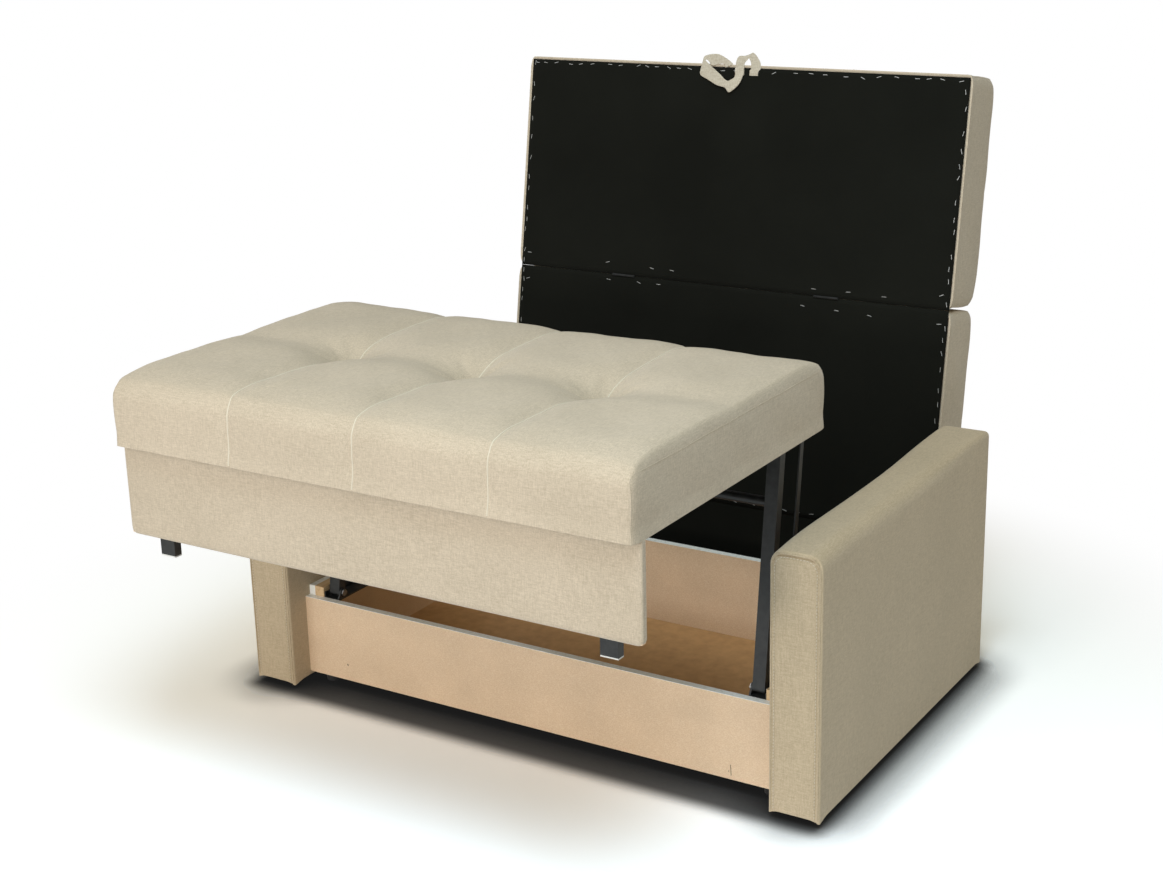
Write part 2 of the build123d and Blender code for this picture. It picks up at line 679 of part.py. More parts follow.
leg_s0 = apron_s1
leg_end = seat_bottom_closed - running_gap
with BuildPart() as seat_legs:
    for x in (-leg_centre, leg_centre):
        with BuildSketch(seat_plane.offset(-leg_plate)):
            with Locations((x, leg_s0 + leg_depth / 2)):
                Rectangle(leg_width, leg_depth)
                Rectangle(leg_width - 2 * tube_wall, leg_depth - 2 * tube_wall, mode=Mode.SUBTRACT)
        extrude(amount=-(leg_end - plug_flange - leg_plate))
        with BuildSketch(seat_plane.offset(-leg_plate)):
            with Locations((x, leg_s0 + leg_depth / 2)):
                Rectangle(leg_width + 2 * leg_plate_margin, leg_depth)
        extrude(amount=leg_plate)
save(seat_legs.part, "seat_legs")

with BuildPart() as leg_plugs:
    for x in (-leg_centre, leg_centre):
        hollow = tube_wall + plug_fit
        add(slab(seat_plane, x - leg_width / 2, x + leg_width / 2, leg_s0, leg_s0 + leg_depth,
                 -leg_end, -leg_end + plug_flange))
        add(slab(seat_plane, x - leg_width / 2 + hollow, x + leg_width / 2 - hollow, leg_s0 + hollow,
                 leg_s0 + leg_depth - hollow, -leg_end + plug_flange,
                 -leg_end + plug_flange + plug_insert))
save(leg_plugs.part, "leg_plugs")

# Rear sections with their fold hinges
hinge_x = [-back_width / 2 * fold_hinge_share, back_width / 2 * fold_hinge_share]
hinge_half = 3 * knuckle_length / 2 + knuckle_gap


def leaf_slab(x, sign, grow=0.0):
    """The flat part of one fold leaf, or its seat in the frame when grown by a fit."""
    s = sorted((fold_at + sign * fold_gap, fold_at + sign * (leaf_reach + grow)))
    if grow:
        s = sorted((fold_at, fold_at + sign * (leaf_reach + grow)))
    return (x - hinge_half - grow, x + hinge_half + grow, *s, -overrun if grow else cloth,
            cloth + leaf + grow)


lower_seats = [leaf_slab(x, -1, leaf_fit) for x in hinge_x]
upper_seats = [leaf_slab(x, 1, leaf_fit) for x in hinge_x]
lower_end = fold_at - fold_gap
upper_start = fold_at + fold_gap
hinge_outer = board_inner - hinge_plate_inset
hinge_span = both(hinge_outer - hinge_plate, hinge_outer)
hinge_cuts = [(x0 - rim_fit, x1 + rim_fit, -overrun, lower_start + hinge_reach + rim_fit,
               hinge_start - rim_fit, hinge_start + hinge_depth + rim_fit) for x0, x1, side in hinge_span]
knuckle_cuts = [(x - hinge_half - leaf_fit, x + hinge_half + leaf_fit, lower_end - rim - overrun,
                 upper_start + rim + overrun, -overrun, cloth + leaf + leaf_fit) for x in hinge_x]
section(back_plane, back_width, lower_start, lower_end, "lower", rise=back_extra,
        rebates=lower_seats + hinge_cuts, cuts=hinge_cuts + knuckle_cuts)
section(back_plane, back_width, upper_start, upper_end, "upper", rise=back_extra, rebates=upper_seats,
        cuts=knuckle_cuts)

# A dark cloth closes the back from the lower section down to the rear stretcher
cloth_half = hinge_outer - hinge_plate - rear_cloth_inset
section_foot_z = back_plane_z + lower_start * cos(lean) - (side_end + cloth - back_plane_y) * sin(lean)
with BuildPart() as rear_cloth:
    add(block(-cloth_half, cloth_half, side_end, side_end + cloth, box_bottom, section_foot_z))
save(rear_cloth.part, "rear_cloth")

# Fold hinges
fold_y = back_plane_y + fold_at * sin(lean) - fold_axis_front * cos(lean)
fold_z = back_plane_z + fold_at * cos(lean) + fold_axis_front * sin(lean)
knuckle_pitch = knuckle_length + knuckle_gap
for name, sign, places in (("fold_leaves_lower", -1, (-knuckle_pitch, knuckle_pitch)),
                           ("fold_leaves_upper", 1, (0,))):
    with BuildPart() as leaves:
        for x in hinge_x:
            add(slab(back_plane, *leaf_slab(x, sign)))
            for place in places:
                k0, k1 = x + place - knuckle_length / 2, x + place + knuckle_length / 2
                tail = sorted((fold_at, fold_at + sign * fold_gap))
                add(slab(back_plane, k0, k1, *tail, cloth, cloth + leaf))
                add(rod(-k1, -k0, fold_y, fold_z, knuckle_radius))
        for x in hinge_x:
            bore = fold_pin_radius + (pin_clearance if sign > 0 else 0)
            add(rod(-x - hinge_half, -x + hinge_half, fold_y, fold_z, bore), mode=Mode.SUBTRACT)
    save(leaves.part, name)

with BuildPart() as fold_pins:
    for x in hinge_x:
        add(rod(-x - hinge_half, -x + hinge_half, fold_y, fold_z, fold_pin_radius))
save(fold_pins.part, "fold_pins")

# Rear hinges
rear_pivot_y = back_plane_y + rear_pivot_along * sin(lean) - rear_pivot_front * cos(lean)
rear_pivot_z = back_plane_z + rear_pivot_along * cos(lean) + rear_pivot_front * sin(lean)
for x0, x1, side in hinge_span:
    slope = Plane(origin=back_plane.from_local_coords((-x0, 0, 0)), x_dir=back_plane.y_dir,
                  z_dir=(1, 0, 0))
    front, back = hinge_start, hinge_start + hinge_depth
    with BuildPart() as hinge_arm:
        with BuildSketch(slope):
            with Locations((rear_pivot_along, rear_pivot_front)):
                Circle(hinge_eye_radius)
            with BuildLine():
                Polyline((lower_start, -front), (lower_start + hinge_reach, -front),
                         (lower_start + hinge_reach, -back), (lower_start - hinge_plate, -back),
                         (rear_pivot_along, rear_pivot_front - hinge_eye_radius),
                         (rear_pivot_along, rear_pivot_front + hinge_eye_radius),
                         (lower_start, -front))
            make_face()
            with Locations((rear_pivot_along, rear_pivot_front)):
                Circle(rear_pin_radius + pin_clearance, mode=Mode.SUBTRACT)
        extrude(amount=hinge_plate)
    save(hinge_arm.part, f"hinge_plate_{side}")

with BuildPart() as pivot_plates:
    for x0, x1, side in both(board_inner - fixed_plate, board_inner):
        with BuildSketch(Plane.YZ.offset(x0)):
            with Locations((y_at(side_end - fixed_plate_width / 2),
                            side_top - edge_band - fixed_plate_height / 2)):
                RectangleRounded(fixed_plate_width, fixed_plate_height, fixed_plate)
            with Locations((y_at(rear_pivot_y), rear_pivot_z)):
                Circle(rear_pin_radius, mode=Mode.SUBTRACT)
        extrude(amount=fixed_plate)
        boss = (x1, -hinge_outer - running_gap) if side == "left" else (hinge_outer + running_gap, x0)
        add(rod(*boss, rear_pivot_y, rear_pivot_z, 2 * rear_pin_radius))
        add(rod(min(x0, *boss), max(x1, *boss), rear_pivot_y, rear_pivot_z, rear_pin_radius),
            mode=Mode.SUBTRACT)
save(pivot_plates.part, "pivot_plates")

with BuildPart() as rear_pins:
    head = hinge_outer - hinge_plate - running_gap
    for outward in (-1, 1):
        add(rod(*sorted((outward * (head - rear_pin_head), outward * head)), rear_pivot_y,
                rear_pivot_z, 2 * rear_pin_radius))
        add(rod(*sorted((outward * head, outward * board_inner)), rear_pivot_y, rear_pivot_z,
                rear_pin_radius))
save(rear_pins.part, "rear_pins")

# Pull strap: a webbing loop hung from the upper end, drooping to the left
strap_top = upper_end - strap_below_end
turn_s = strap_top - strap_turn
turns = [(-strap_offset + strap_left, turn_s), (-strap_offset + strap_tip, turn_s - strap_sag),
         (-strap_offset - strap_right, turn_s)]
with BuildPart() as pull_strap:
    with BuildSketch(back_plane.offset(-strap_off_cloth - strap_thickness)):
        with BuildLine():
            Polyline(*turns, close=True)
        make_face()
        offset(amount=strap_turn, kind=Kind.ARC)
        with BuildSketch(mode=Mode.SUBTRACT):
            with BuildLine():
                Polyline(*turns, close=True)
            make_face()
            offset(amount=strap_turn - strap_width, kind=Kind.ARC)
    extrude(amount=strap_thickness)
save(pull_strap.part, "pull_strap")

with BuildPart() as strap_fixings:
    for x in (strap_offset - strap_span / 2, strap_offset + strap_span / 2 - strap_width):
        s = strap_top - strap_fixing
        add(slab(back_plane, -x - strap_width, -x, s - strap_fixing_length, s, -strap_fixing, 0))
save(strap_fixings.part, "strap_fixings")
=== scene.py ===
"""Looks of the half-opened sofa bed: upholstery, boards, steel, staples, camera and studio."""
import math

import bmesh
import bpy
import numpy as np
from mathutils import Matrix, Vector
from mathutils.bvhtree import BVHTree


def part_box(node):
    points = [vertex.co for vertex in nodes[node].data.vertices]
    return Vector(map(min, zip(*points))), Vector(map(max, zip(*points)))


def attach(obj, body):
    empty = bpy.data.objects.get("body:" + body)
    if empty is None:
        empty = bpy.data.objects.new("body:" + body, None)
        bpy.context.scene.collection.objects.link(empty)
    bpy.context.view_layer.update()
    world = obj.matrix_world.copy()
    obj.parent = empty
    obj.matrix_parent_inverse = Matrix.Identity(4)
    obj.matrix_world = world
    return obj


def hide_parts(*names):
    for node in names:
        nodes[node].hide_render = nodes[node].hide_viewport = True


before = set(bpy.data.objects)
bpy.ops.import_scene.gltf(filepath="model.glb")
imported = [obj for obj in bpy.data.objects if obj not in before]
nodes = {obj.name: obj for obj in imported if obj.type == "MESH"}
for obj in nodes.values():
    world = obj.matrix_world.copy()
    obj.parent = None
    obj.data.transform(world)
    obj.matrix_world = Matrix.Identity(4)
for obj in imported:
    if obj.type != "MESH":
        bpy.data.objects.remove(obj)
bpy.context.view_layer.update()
rng = np.random.default_rng(7)

# Sizes shared with the solid model, in metres
SEAT_WIDTH, BACK_WIDTH = 1.290, 1.270
SEAT_DEPTH = 0.818
CENTRE_Y = 0.384064414
LEAN = math.radians(9.4)
BACK_ORIGIN = Vector((0, 0.935 - CENTRE_Y, 0.269))
SEAT_ORIGIN = Vector((0, -0.524014 - CENTRE_Y, 0.79042))
LOWER = (0.050, 0.616)
UPPER = (0.624, 1.190)
ARMREST = {"width": 0.120, "depth": 0.950, "bottom": 0.018, "top": 0.620, "inner": 0.655}
FRONT_PANEL_Y = -0.3211

# Heights of the visible cushions; the photo shows the rear ones thicker than their solids
SEAT_HEIGHT, LOWER_HEIGHT, UPPER_HEIGHT = 0.137, 0.158, 0.162


def seat_point(p):
    """From a section's own frame (x, along, off) to the row frame, for the seat."""
    return np.stack([p[:, 0], p[:, 1] + SEAT_ORIGIN.y, p[:, 2] + SEAT_ORIGIN.z], 1)


def back_point(p):
    """The same for the leaning rear sections: along the slope, and off its dark side."""
    y = BACK_ORIGIN.y + p[:, 1] * math.sin(LEAN) + p[:, 2] * math.cos(LEAN)
    z = BACK_ORIGIN.z + p[:, 1] * math.cos(LEAN) - p[:, 2] * math.sin(LEAN)
    return np.stack([p[:, 0], y, z], 1)


# Materials
def new_material(name, base, roughness, metallic=0.0):
    """A plain material; returns it with its node tree and its shader, for wiring."""
    mat = bpy.data.materials.new(name)
    mat.use_nodes = True
    tree = mat.node_tree
    shader = tree.nodes["Principled BSDF"]
    shader.inputs["Base Color"].default_value = (*base, 1)
    shader.inputs["Roughness"].default_value = roughness
    shader.inputs["Metallic"].default_value = metallic
    return mat, tree, shader


def node(tree, kind, **values):
    """A shader node with its sockets or settings set by name."""
    made = tree.nodes.new(kind)
    for key, value in values.items():
        if key in made.inputs:
            made.inputs[key].default_value = value
        else:
            setattr(made, key, value)
    return made


def scaled_place(tree, scale, rotation=(0, 0, 0)):
    """Object coordinates, scaled for one texture."""
    place = node(tree, "ShaderNodeTexCoord")
    mapping = node(tree, "ShaderNodeMapping")
    mapping.inputs["Scale"].default_value = scale
    mapping.inputs["Rotation"].default_value = rotation
    tree.links.new(place.outputs["Object"], mapping.inputs["Vector"])
    return mapping.outputs["Vector"]


def chain(tree, socket, *steps):
    """Sends a socket through maths steps (kind, operation, second value) and returns the last output."""
    for kind, operation, second in steps:
        step = node(tree, "ShaderNode" + kind, operation=operation)
        if second is not None:
            step.inputs[1].default_value = second
        tree.links.new(socket, step.inputs[0])
        socket = step.outputs["Value"] if operation == "LENGTH" else step.outputs[0]
    return socket


def ramp(tree, source, stops):
    """A colour ramp from a source through (place, colour) stops."""
    made = node(tree, "ShaderNodeValToRGB")
    while len(made.color_ramp.elements) < len(stops):
        made.color_ramp.elements.new(0.5)
    for element, (place, colour) in zip(made.color_ramp.elements, stops):
        element.position = place
        element.color = (*colour, 1)
    tree.links.new(source, made.inputs["Fac"])
    return made.outputs["Color"]


def mix(tree, a, b, amount, blend_type="MIX"):
    """Two colours mixed; amount may be a number or a socket."""
    made = node(tree, "ShaderNodeMix", data_type="RGBA", blend_type=blend_type)
    for socket, value in ((made.inputs[0], amount), (made.inputs[6], a), (made.inputs[7], b)):
        if isinstance(value, (int, float)):
            socket.default_value = value
        elif isinstance(value, tuple):
            socket.default_value = (*value, 1)
        else:
            tree.links.new(value, socket)
    return made.outputs[2]


def bump(tree, height, strength, distance):
    """A bump from a height socket."""
    made = node(tree, "ShaderNodeBump", Strength=strength, Distance=distance)
    tree.links.new(height, made.inputs["Height"])
    return made.outputs["Normal"]


def melange(name, light, dark, thread, sheen=0.25):
    """Woven cloth of mixed yarns: slubs along both directions, a fine weave bump, faint soiling."""
    mat, tree, shader = new_material(name, light, 0.92)
    thread_scale = 1 / thread
    slubs = []
    for stretch in ((0.12, 1, 1), (1, 0.12, 1), (1, 1, 0.12)):
        place = scaled_place(tree, tuple(thread_scale * 0.55 * s for s in stretch))
        noise = node(tree, "ShaderNodeTexNoise", Scale=1.0, Detail=2.0, Roughness=0.6)
        tree.links.new(place, noise.inputs["Vector"])
        slubs.append(noise.outputs["Fac"])
    total = slubs[0]
    for slub in slubs[1:]:
        added = node(tree, "ShaderNodeMath", operation="ADD")
        tree.links.new(total, added.inputs[0])
        tree.links.new(slub, added.inputs[1])
        total = added.outputs[0]
    average = chain(tree, total, ("Math", "MULTIPLY", 1 / 3))
    between = tuple((a + b) / 2 for a, b in zip(light, dark))
    yarn = ramp(tree, average, [(0.40, dark), (0.5, between), (0.60, light)])
    cloud = node(tree, "ShaderNodeTexNoise", Scale=5.0, Detail=3.0)
    tree.links.new(scaled_place(tree, (1, 1, 1)), cloud.inputs["Vector"])
    soil = ramp(tree, cloud.outputs["Fac"], [(0.3, (0.92, 0.92, 0.91)), (0.7, (1, 1, 1))])
    tree.links.new(mix(tree, yarn, soil, 1.0, "MULTIPLY"), shader.inputs["Base Color"])
    weave = node(tree, "ShaderNodeTexVoronoi", feature="F1", Scale=1.0)
    tree.links.new(scaled_place(tree, (thread_scale,) * 3), weave.inputs["Vector"])
    tree.links.new(bump(tree, weave.outputs["Distance"], 0.35, 0.0006), shader.inputs["Normal"])
    shader.inputs["Sheen Weight"].default_value = sheen
    shader.inputs["Sheen Roughness"].default_value = 0.6
    return mat


def chipboard(name, tan, fleck, pale):
    """Laminated particle board: a tan face with fine flecks and a few scratches."""
    mat, tree, shader = new_material(name, tan, 0.5)
    flecks = node(tree, "ShaderNodeTexVoronoi", feature="F1", Scale=1.0, Randomness=1.0)
    tree.links.new(scaled_place(tree, (260, 700, 700)), flecks.inputs["Vector"])
    face = ramp(tree, flecks.outputs["Distance"], [(0.0, fleck), (0.35, tan), (0.9, pale)])
    cloud = node(tree, "ShaderNodeTexNoise", Scale=9.0, Detail=5.0)
    tree.links.new(scaled_place(tree, (1, 1, 1)), cloud.inputs["Vector"])
    shade = ramp(tree, cloud.outputs["Fac"], [(0.3, (0.9, 0.9, 0.9)), (0.7, (1, 1, 1))])
    tree.links.new(mix(tree, face, shade, 1.0, "MULTIPLY"), shader.inputs["Base Color"])
    scuffs = node(tree, "ShaderNodeTexNoise", Scale=1.0, Detail=4.0)
    tree.links.new(scaled_place(tree, (6, 90, 90)), scuffs.inputs["Vector"])
    rough = ramp(tree, scuffs.outputs["Fac"], [(0.35, (0.42,) * 3), (0.7, (0.58,) * 3)])
    tree.links.new(rough, shader.inputs["Roughness"])
    tree.links.new(bump(tree, flecks.outputs["Distance"], 0.08, 0.0004), shader.inputs["Normal"])
    return mat


def grained(name, light, dark, along, roughness=0.65, scale=1.0):
    """Bare wood with its grain along one axis."""
    mat, tree, shader = new_material(name, light, roughness)
    squeeze = [90 * scale] * 3
    squeeze["XYZ".index(along)] = 3.5 * scale
    place = scaled_place(tree, tuple(squeeze))
    rings = node(tree, "ShaderNodeTexNoise", Scale=1.0, Detail=4.0, Distortion=0.8)
    tree.links.new(place, rings.inputs["Vector"])
    tree.links.new(ramp(tree, rings.outputs["Fac"], [(0.3, dark), (0.55, light), (0.75, dark)]),
                   shader.inputs["Base Color"])
    tree.links.new(bump(tree, rings.outputs["Fac"], 0.2, 0.0006), shader.inputs["Normal"])
    return mat


def smooth_board(name, colour, darker):
    """Hardboard: a smooth dense face with faint mottling."""
    mat, tree, shader = new_material(name, colour, 0.45)
    mottle = node(tree, "ShaderNodeTexNoise", Scale=1.0, Detail=6.0)
    tree.links.new(scaled_place(tree, (40, 40, 40)), mottle.inputs["Vector"])
    tree.links.new(ramp(tree, mottle.outputs["Fac"], [(0.3, darker), (0.7, colour)]),
                   shader.inputs["Base Color"])
    return mat


def coated(name, colour, roughness, metallic=0.0, worn=0.0):
    """Painted, plated or moulded surface with slight unevenness and handling marks."""
    mat, tree, shader = new_material(name, colour, roughness, metallic)
    marks = node(tree, "ShaderNodeTexNoise", Scale=1.0, Detail=5.0)
    tree.links.new(scaled_place(tree, (70, 70, 70)), marks.inputs["Vector"])
    lighter = tuple(min(1, c + worn) for c in colour)
    tree.links.new(ramp(tree, marks.outputs["Fac"], [(0.35, colour), (0.8, lighter)]),
                   shader.inputs["Base Color"])
    uneven = ramp(tree, marks.outputs["Fac"], [(0.3, (max(0.05, roughness - 0.1),) * 3),
                                               (0.7, (min(1, roughness + 0.1),) * 3)])
    tree.links.new(uneven, shader.inputs["Roughness"])
    grit = node(tree, "ShaderNodeTexNoise", Scale=1.0, Detail=2.0)
    tree.links.new(scaled_place(tree, (1500, 1500, 1500)), grit.inputs["Vector"])
    tree.links.new(bump(tree, grit.outputs["Fac"], 0.1, 0.0002), shader.inputs["Normal"])
    return mat


def felt(name, colour, lighter):
    """Non-woven cloth: fibres pressed flat, matt and dark."""
    mat, tree, shader = new_material(name, colour, 0.95)
    fibre = node(tree, "ShaderNodeTexNoise", Scale=1.0, Detail=6.0, Roughness=0.7)
    tree.links.new(scaled_place(tree, (900, 900, 900)), fibre.inputs["Vector"])
    cloud = node(tree, "ShaderNodeTexNoise", Scale=4.0, Detail=3.0)
    tree.links.new(scaled_place(tree, (1, 1, 1)), cloud.inputs["Vector"])
    tone = ramp(tree, cloud.outputs["Fac"], [(0.3, colour), (0.75, lighter)])
    speck = ramp(tree, fibre.outputs["Fac"], [(0.35, (0.75,) * 3), (0.7, (1.2,) * 3)])
    tree.links.new(mix(tree, tone, speck, 1.0, "MULTIPLY"), shader.inputs["Base Color"])
    tree.links.new(bump(tree, fibre.outputs["Fac"], 0.3, 0.0004), shader.inputs["Normal"])
    shader.inputs["Specular IOR Level"].default_value = 0.12
    return mat


fabric = melange("sofa_cloth", (0.650, 0.550, 0.425), (0.480, 0.395, 0.290), thread=0.0010)
arm_fabric = melange("armrest_cloth", (0.625, 0.505, 0.345), (0.465, 0.36, 0.23), thread=0.0010)
dark_cloth = felt("underside_cloth", (0.0055, 0.0057, 0.0040), (0.0085, 0.0088, 0.0065))
board_face = chipboard("board_face", (0.79, 0.575, 0.38), (0.64, 0.44, 0.27), (0.88, 0.69, 0.50))
floor_face = smooth_board("hardboard_face", (0.62, 0.37, 0.165), (0.49, 0.28, 0.12))
banding = coated("edge_band", (0.97, 0.98, 0.95), 0.30)
pine_y = grained("pine_along_y", (0.72, 0.52, 0.30), (0.58, 0.38, 0.19), "Y")
pine_z = grained("pine_along_z", (0.72, 0.52, 0.30), (0.58, 0.38, 0.19), "Z")
pine_x = grained("pine_along_x", (0.72, 0.52, 0.30), (0.58, 0.38, 0.19), "X")
steel_black = coated("black_coat", (0.011, 0.012, 0.012), 0.44, worn=0.02)
zinc = coated("zinc_plate", (0.25, 0.25, 0.245), 0.34, metallic=1.0, worn=0.1)
black_plastic = coated("black_plastic", (0.012, 0.012, 0.012), 0.5)
plug_plastic = coated("plug_plastic", (0.72, 0.72, 0.70), 0.25)
fold_black = coated("dull_black", (0.006, 0.006, 0.005), 0.9)
mark_brown = coated("bruised_board", (0.10, 0.062, 0.036), 0.8)
staple_steel = coated("staple_steel", (0.36, 0.36, 0.35), 0.45, metallic=0.3)
webbing = melange("webbing", (0.62, 0.56, 0.46), (0.45, 0.39, 0.30), thread=0.0011, sheen=0.1)
# Thread for seams and stitches, paler than the cloth; on the cushions' seams the paleness is partly a
# painted highlight
thread = coated("thread", (0.72, 0.665, 0.55), 0.9)

finish_of = {
    "front_panel": board_face, "rear_panel": board_face, "side_board_left": board_face,
    "side_board_right": board_face, "floor_panel": floor_face, "rear_stretcher": pine_x,
    "fold_leaves_lower": fold_black, "fold_leaves_upper": fold_black, "fold_pins": fold_black,
    "edge_bands": banding, "strap_fixings": webbing, "corner_blocks": pine_z, "side_batten_left": pine_y,
    "side_batten_right": pine_y, "feet": black_plastic, "leg_plugs": plug_plastic,
}
for name, carried in nodes.items():
    if name in finish_of:
        mat = finish_of[name]
    elif name.endswith("_frame") or "rails" in name:
        mat = pine_y
    elif name.endswith("_deck"):
        mat = floor_face
    elif "panels" in name or name == "apron_board":
        mat = board_face
    elif any(word in name for word in ("bolts", "pins", "screws", "fixings")):
        mat = zinc
    else:
        mat = steel_black
    carried.data.materials.clear()
    carried.data.materials.append(mat)


# Mesh helpers
def add_mesh(name, points, faces, material, smooth=True):
    """A mesh object from arrays of points and lists of corners."""
    mesh = bpy.data.meshes.new(name)
    mesh.from_pydata([tuple(p) for p in points], [], faces)
    mesh.validate()
    mesh.update()
    for polygon in mesh.polygons:
        polygon.use_smooth = smooth
    obj = bpy.data.objects.new(name, mesh)
    bpy.context.scene.collection.objects.link(obj)
    obj.data.materials.append(material)
    return obj


def face_outward(mesh):
    """Turns every face of a closed mesh outward."""
    work = bmesh.new()
    work.from_mesh(mesh)
    bmesh.ops.recalc_face_normals(work, faces=work.faces)
    work.to_mesh(mesh)
    work.free()


def sheet_faces(columns, rows):
    """Faces of a two-layer grid: one layer, the other turned over, and the rim between them."""
    count = columns * rows
    faces = []
    for i in range(columns - 1):
        for j in range(rows - 1):
            a = i * rows + j
            quad = (a, a + 1, a + 1 + rows, a + rows)
            faces += [quad, tuple(q + count for q in quad[::-1])]
    edge = [i * rows for i in range(columns)]
    edge += [count - rows + j for j in range(1, rows)]
    edge += [i * rows + rows - 1 for i in range(columns - 2, -1, -1)]
    edge += list(range(rows - 2, 0, -1))
    faces += [(a, b, b + count, a + count) for a, b in zip(edge, edge[1:] + edge[:1])]
    return faces


def box_shell(xs, ys, zs):
    """Points and quads of a closed box grid with the given grid lines, each side facing out."""
    index, points, faces = {}, [], []

    def at(i, j, k):
        key = (i, j, k)
        if key not in index:
            index[key] = len(points)
            points.append((xs[i], ys[j], zs[k]))
        return index[key]

    nx, ny, nz = len(xs) - 1, len(ys) - 1, len(zs) - 1
    for k, flip in ((0, True), (nz, False)):
        for i in range(nx):
            for j in range(ny):
                quad = [at(i, j, k), at(i + 1, j, k), at(i + 1, j + 1, k), at(i, j + 1, k)]
                faces.append(quad[::-1] if flip else quad)
    for j, flip in ((0, False), (ny, True)):
        for i in range(nx):
            for k in range(nz):
                quad = [at(i, j, k), at(i + 1, j, k), at(i + 1, j, k + 1), at(i, j, k + 1)]
                faces.append(quad[::-1] if flip else quad)
    for i, flip in ((0, True), (nx, False)):
        for j in range(ny):
            for k in range(nz):
                quad = [at(i, j, k), at(i, j + 1, k), at(i, j + 1, k + 1), at(i, j, k + 1)]
                faces.append(quad[::-1] if flip else quad)
    return np.array(points, float), faces


def lines(low, high, step, edge, fine):
    """Grid lines: fine within an edge of both ends, coarser between."""
    inner = np.linspace(low + edge, high - edge, max(2, round((high - low - 2 * edge) / step) + 1))
    near = low + edge * (1 - np.cos(np.linspace(0, math.pi / 2, fine + 1)))[:-1]
    return np.concatenate([near, inner, (low + high - near)[::-1]])


def rounded(points, low, high, radii):
    """Pulls a box grid's edges in to radii (rx, ry, rz) by axis, so that edges turn smoothly."""
    low, high = np.array(low, float), np.array(high, float)
    radii = np.array(radii, float)
    core = np.clip(points, low + radii, high - radii)
    off = (points - core) / radii
    length = np.maximum(1e-9, np.linalg.norm(off, axis=1, keepdims=True))
    biggest = np.maximum(1e-9, np.abs(off).max(axis=1, keepdims=True))
    return core + off / length * biggest * radii


def bell(d, width):
    """A smooth dip profile, 1 at the middle and fading over width."""
    return np.exp(-(d / width) ** 2)


def smoothstep(x):
    """An even rise from 0 to 1 with soft ends."""
    x = np.clip(x, 0, 1)
    return x * x * (3 - 2 * x)


def quarter_turn(side, top, radius, count, start=0.0):
    """Points (across, up) of a rounded corner that touches the lines at side and top."""
    return [(side + radius - radius * math.cos(a), top - radius + radius * math.sin(a))
            for a in np.linspace(start, math.pi / 2, count)]


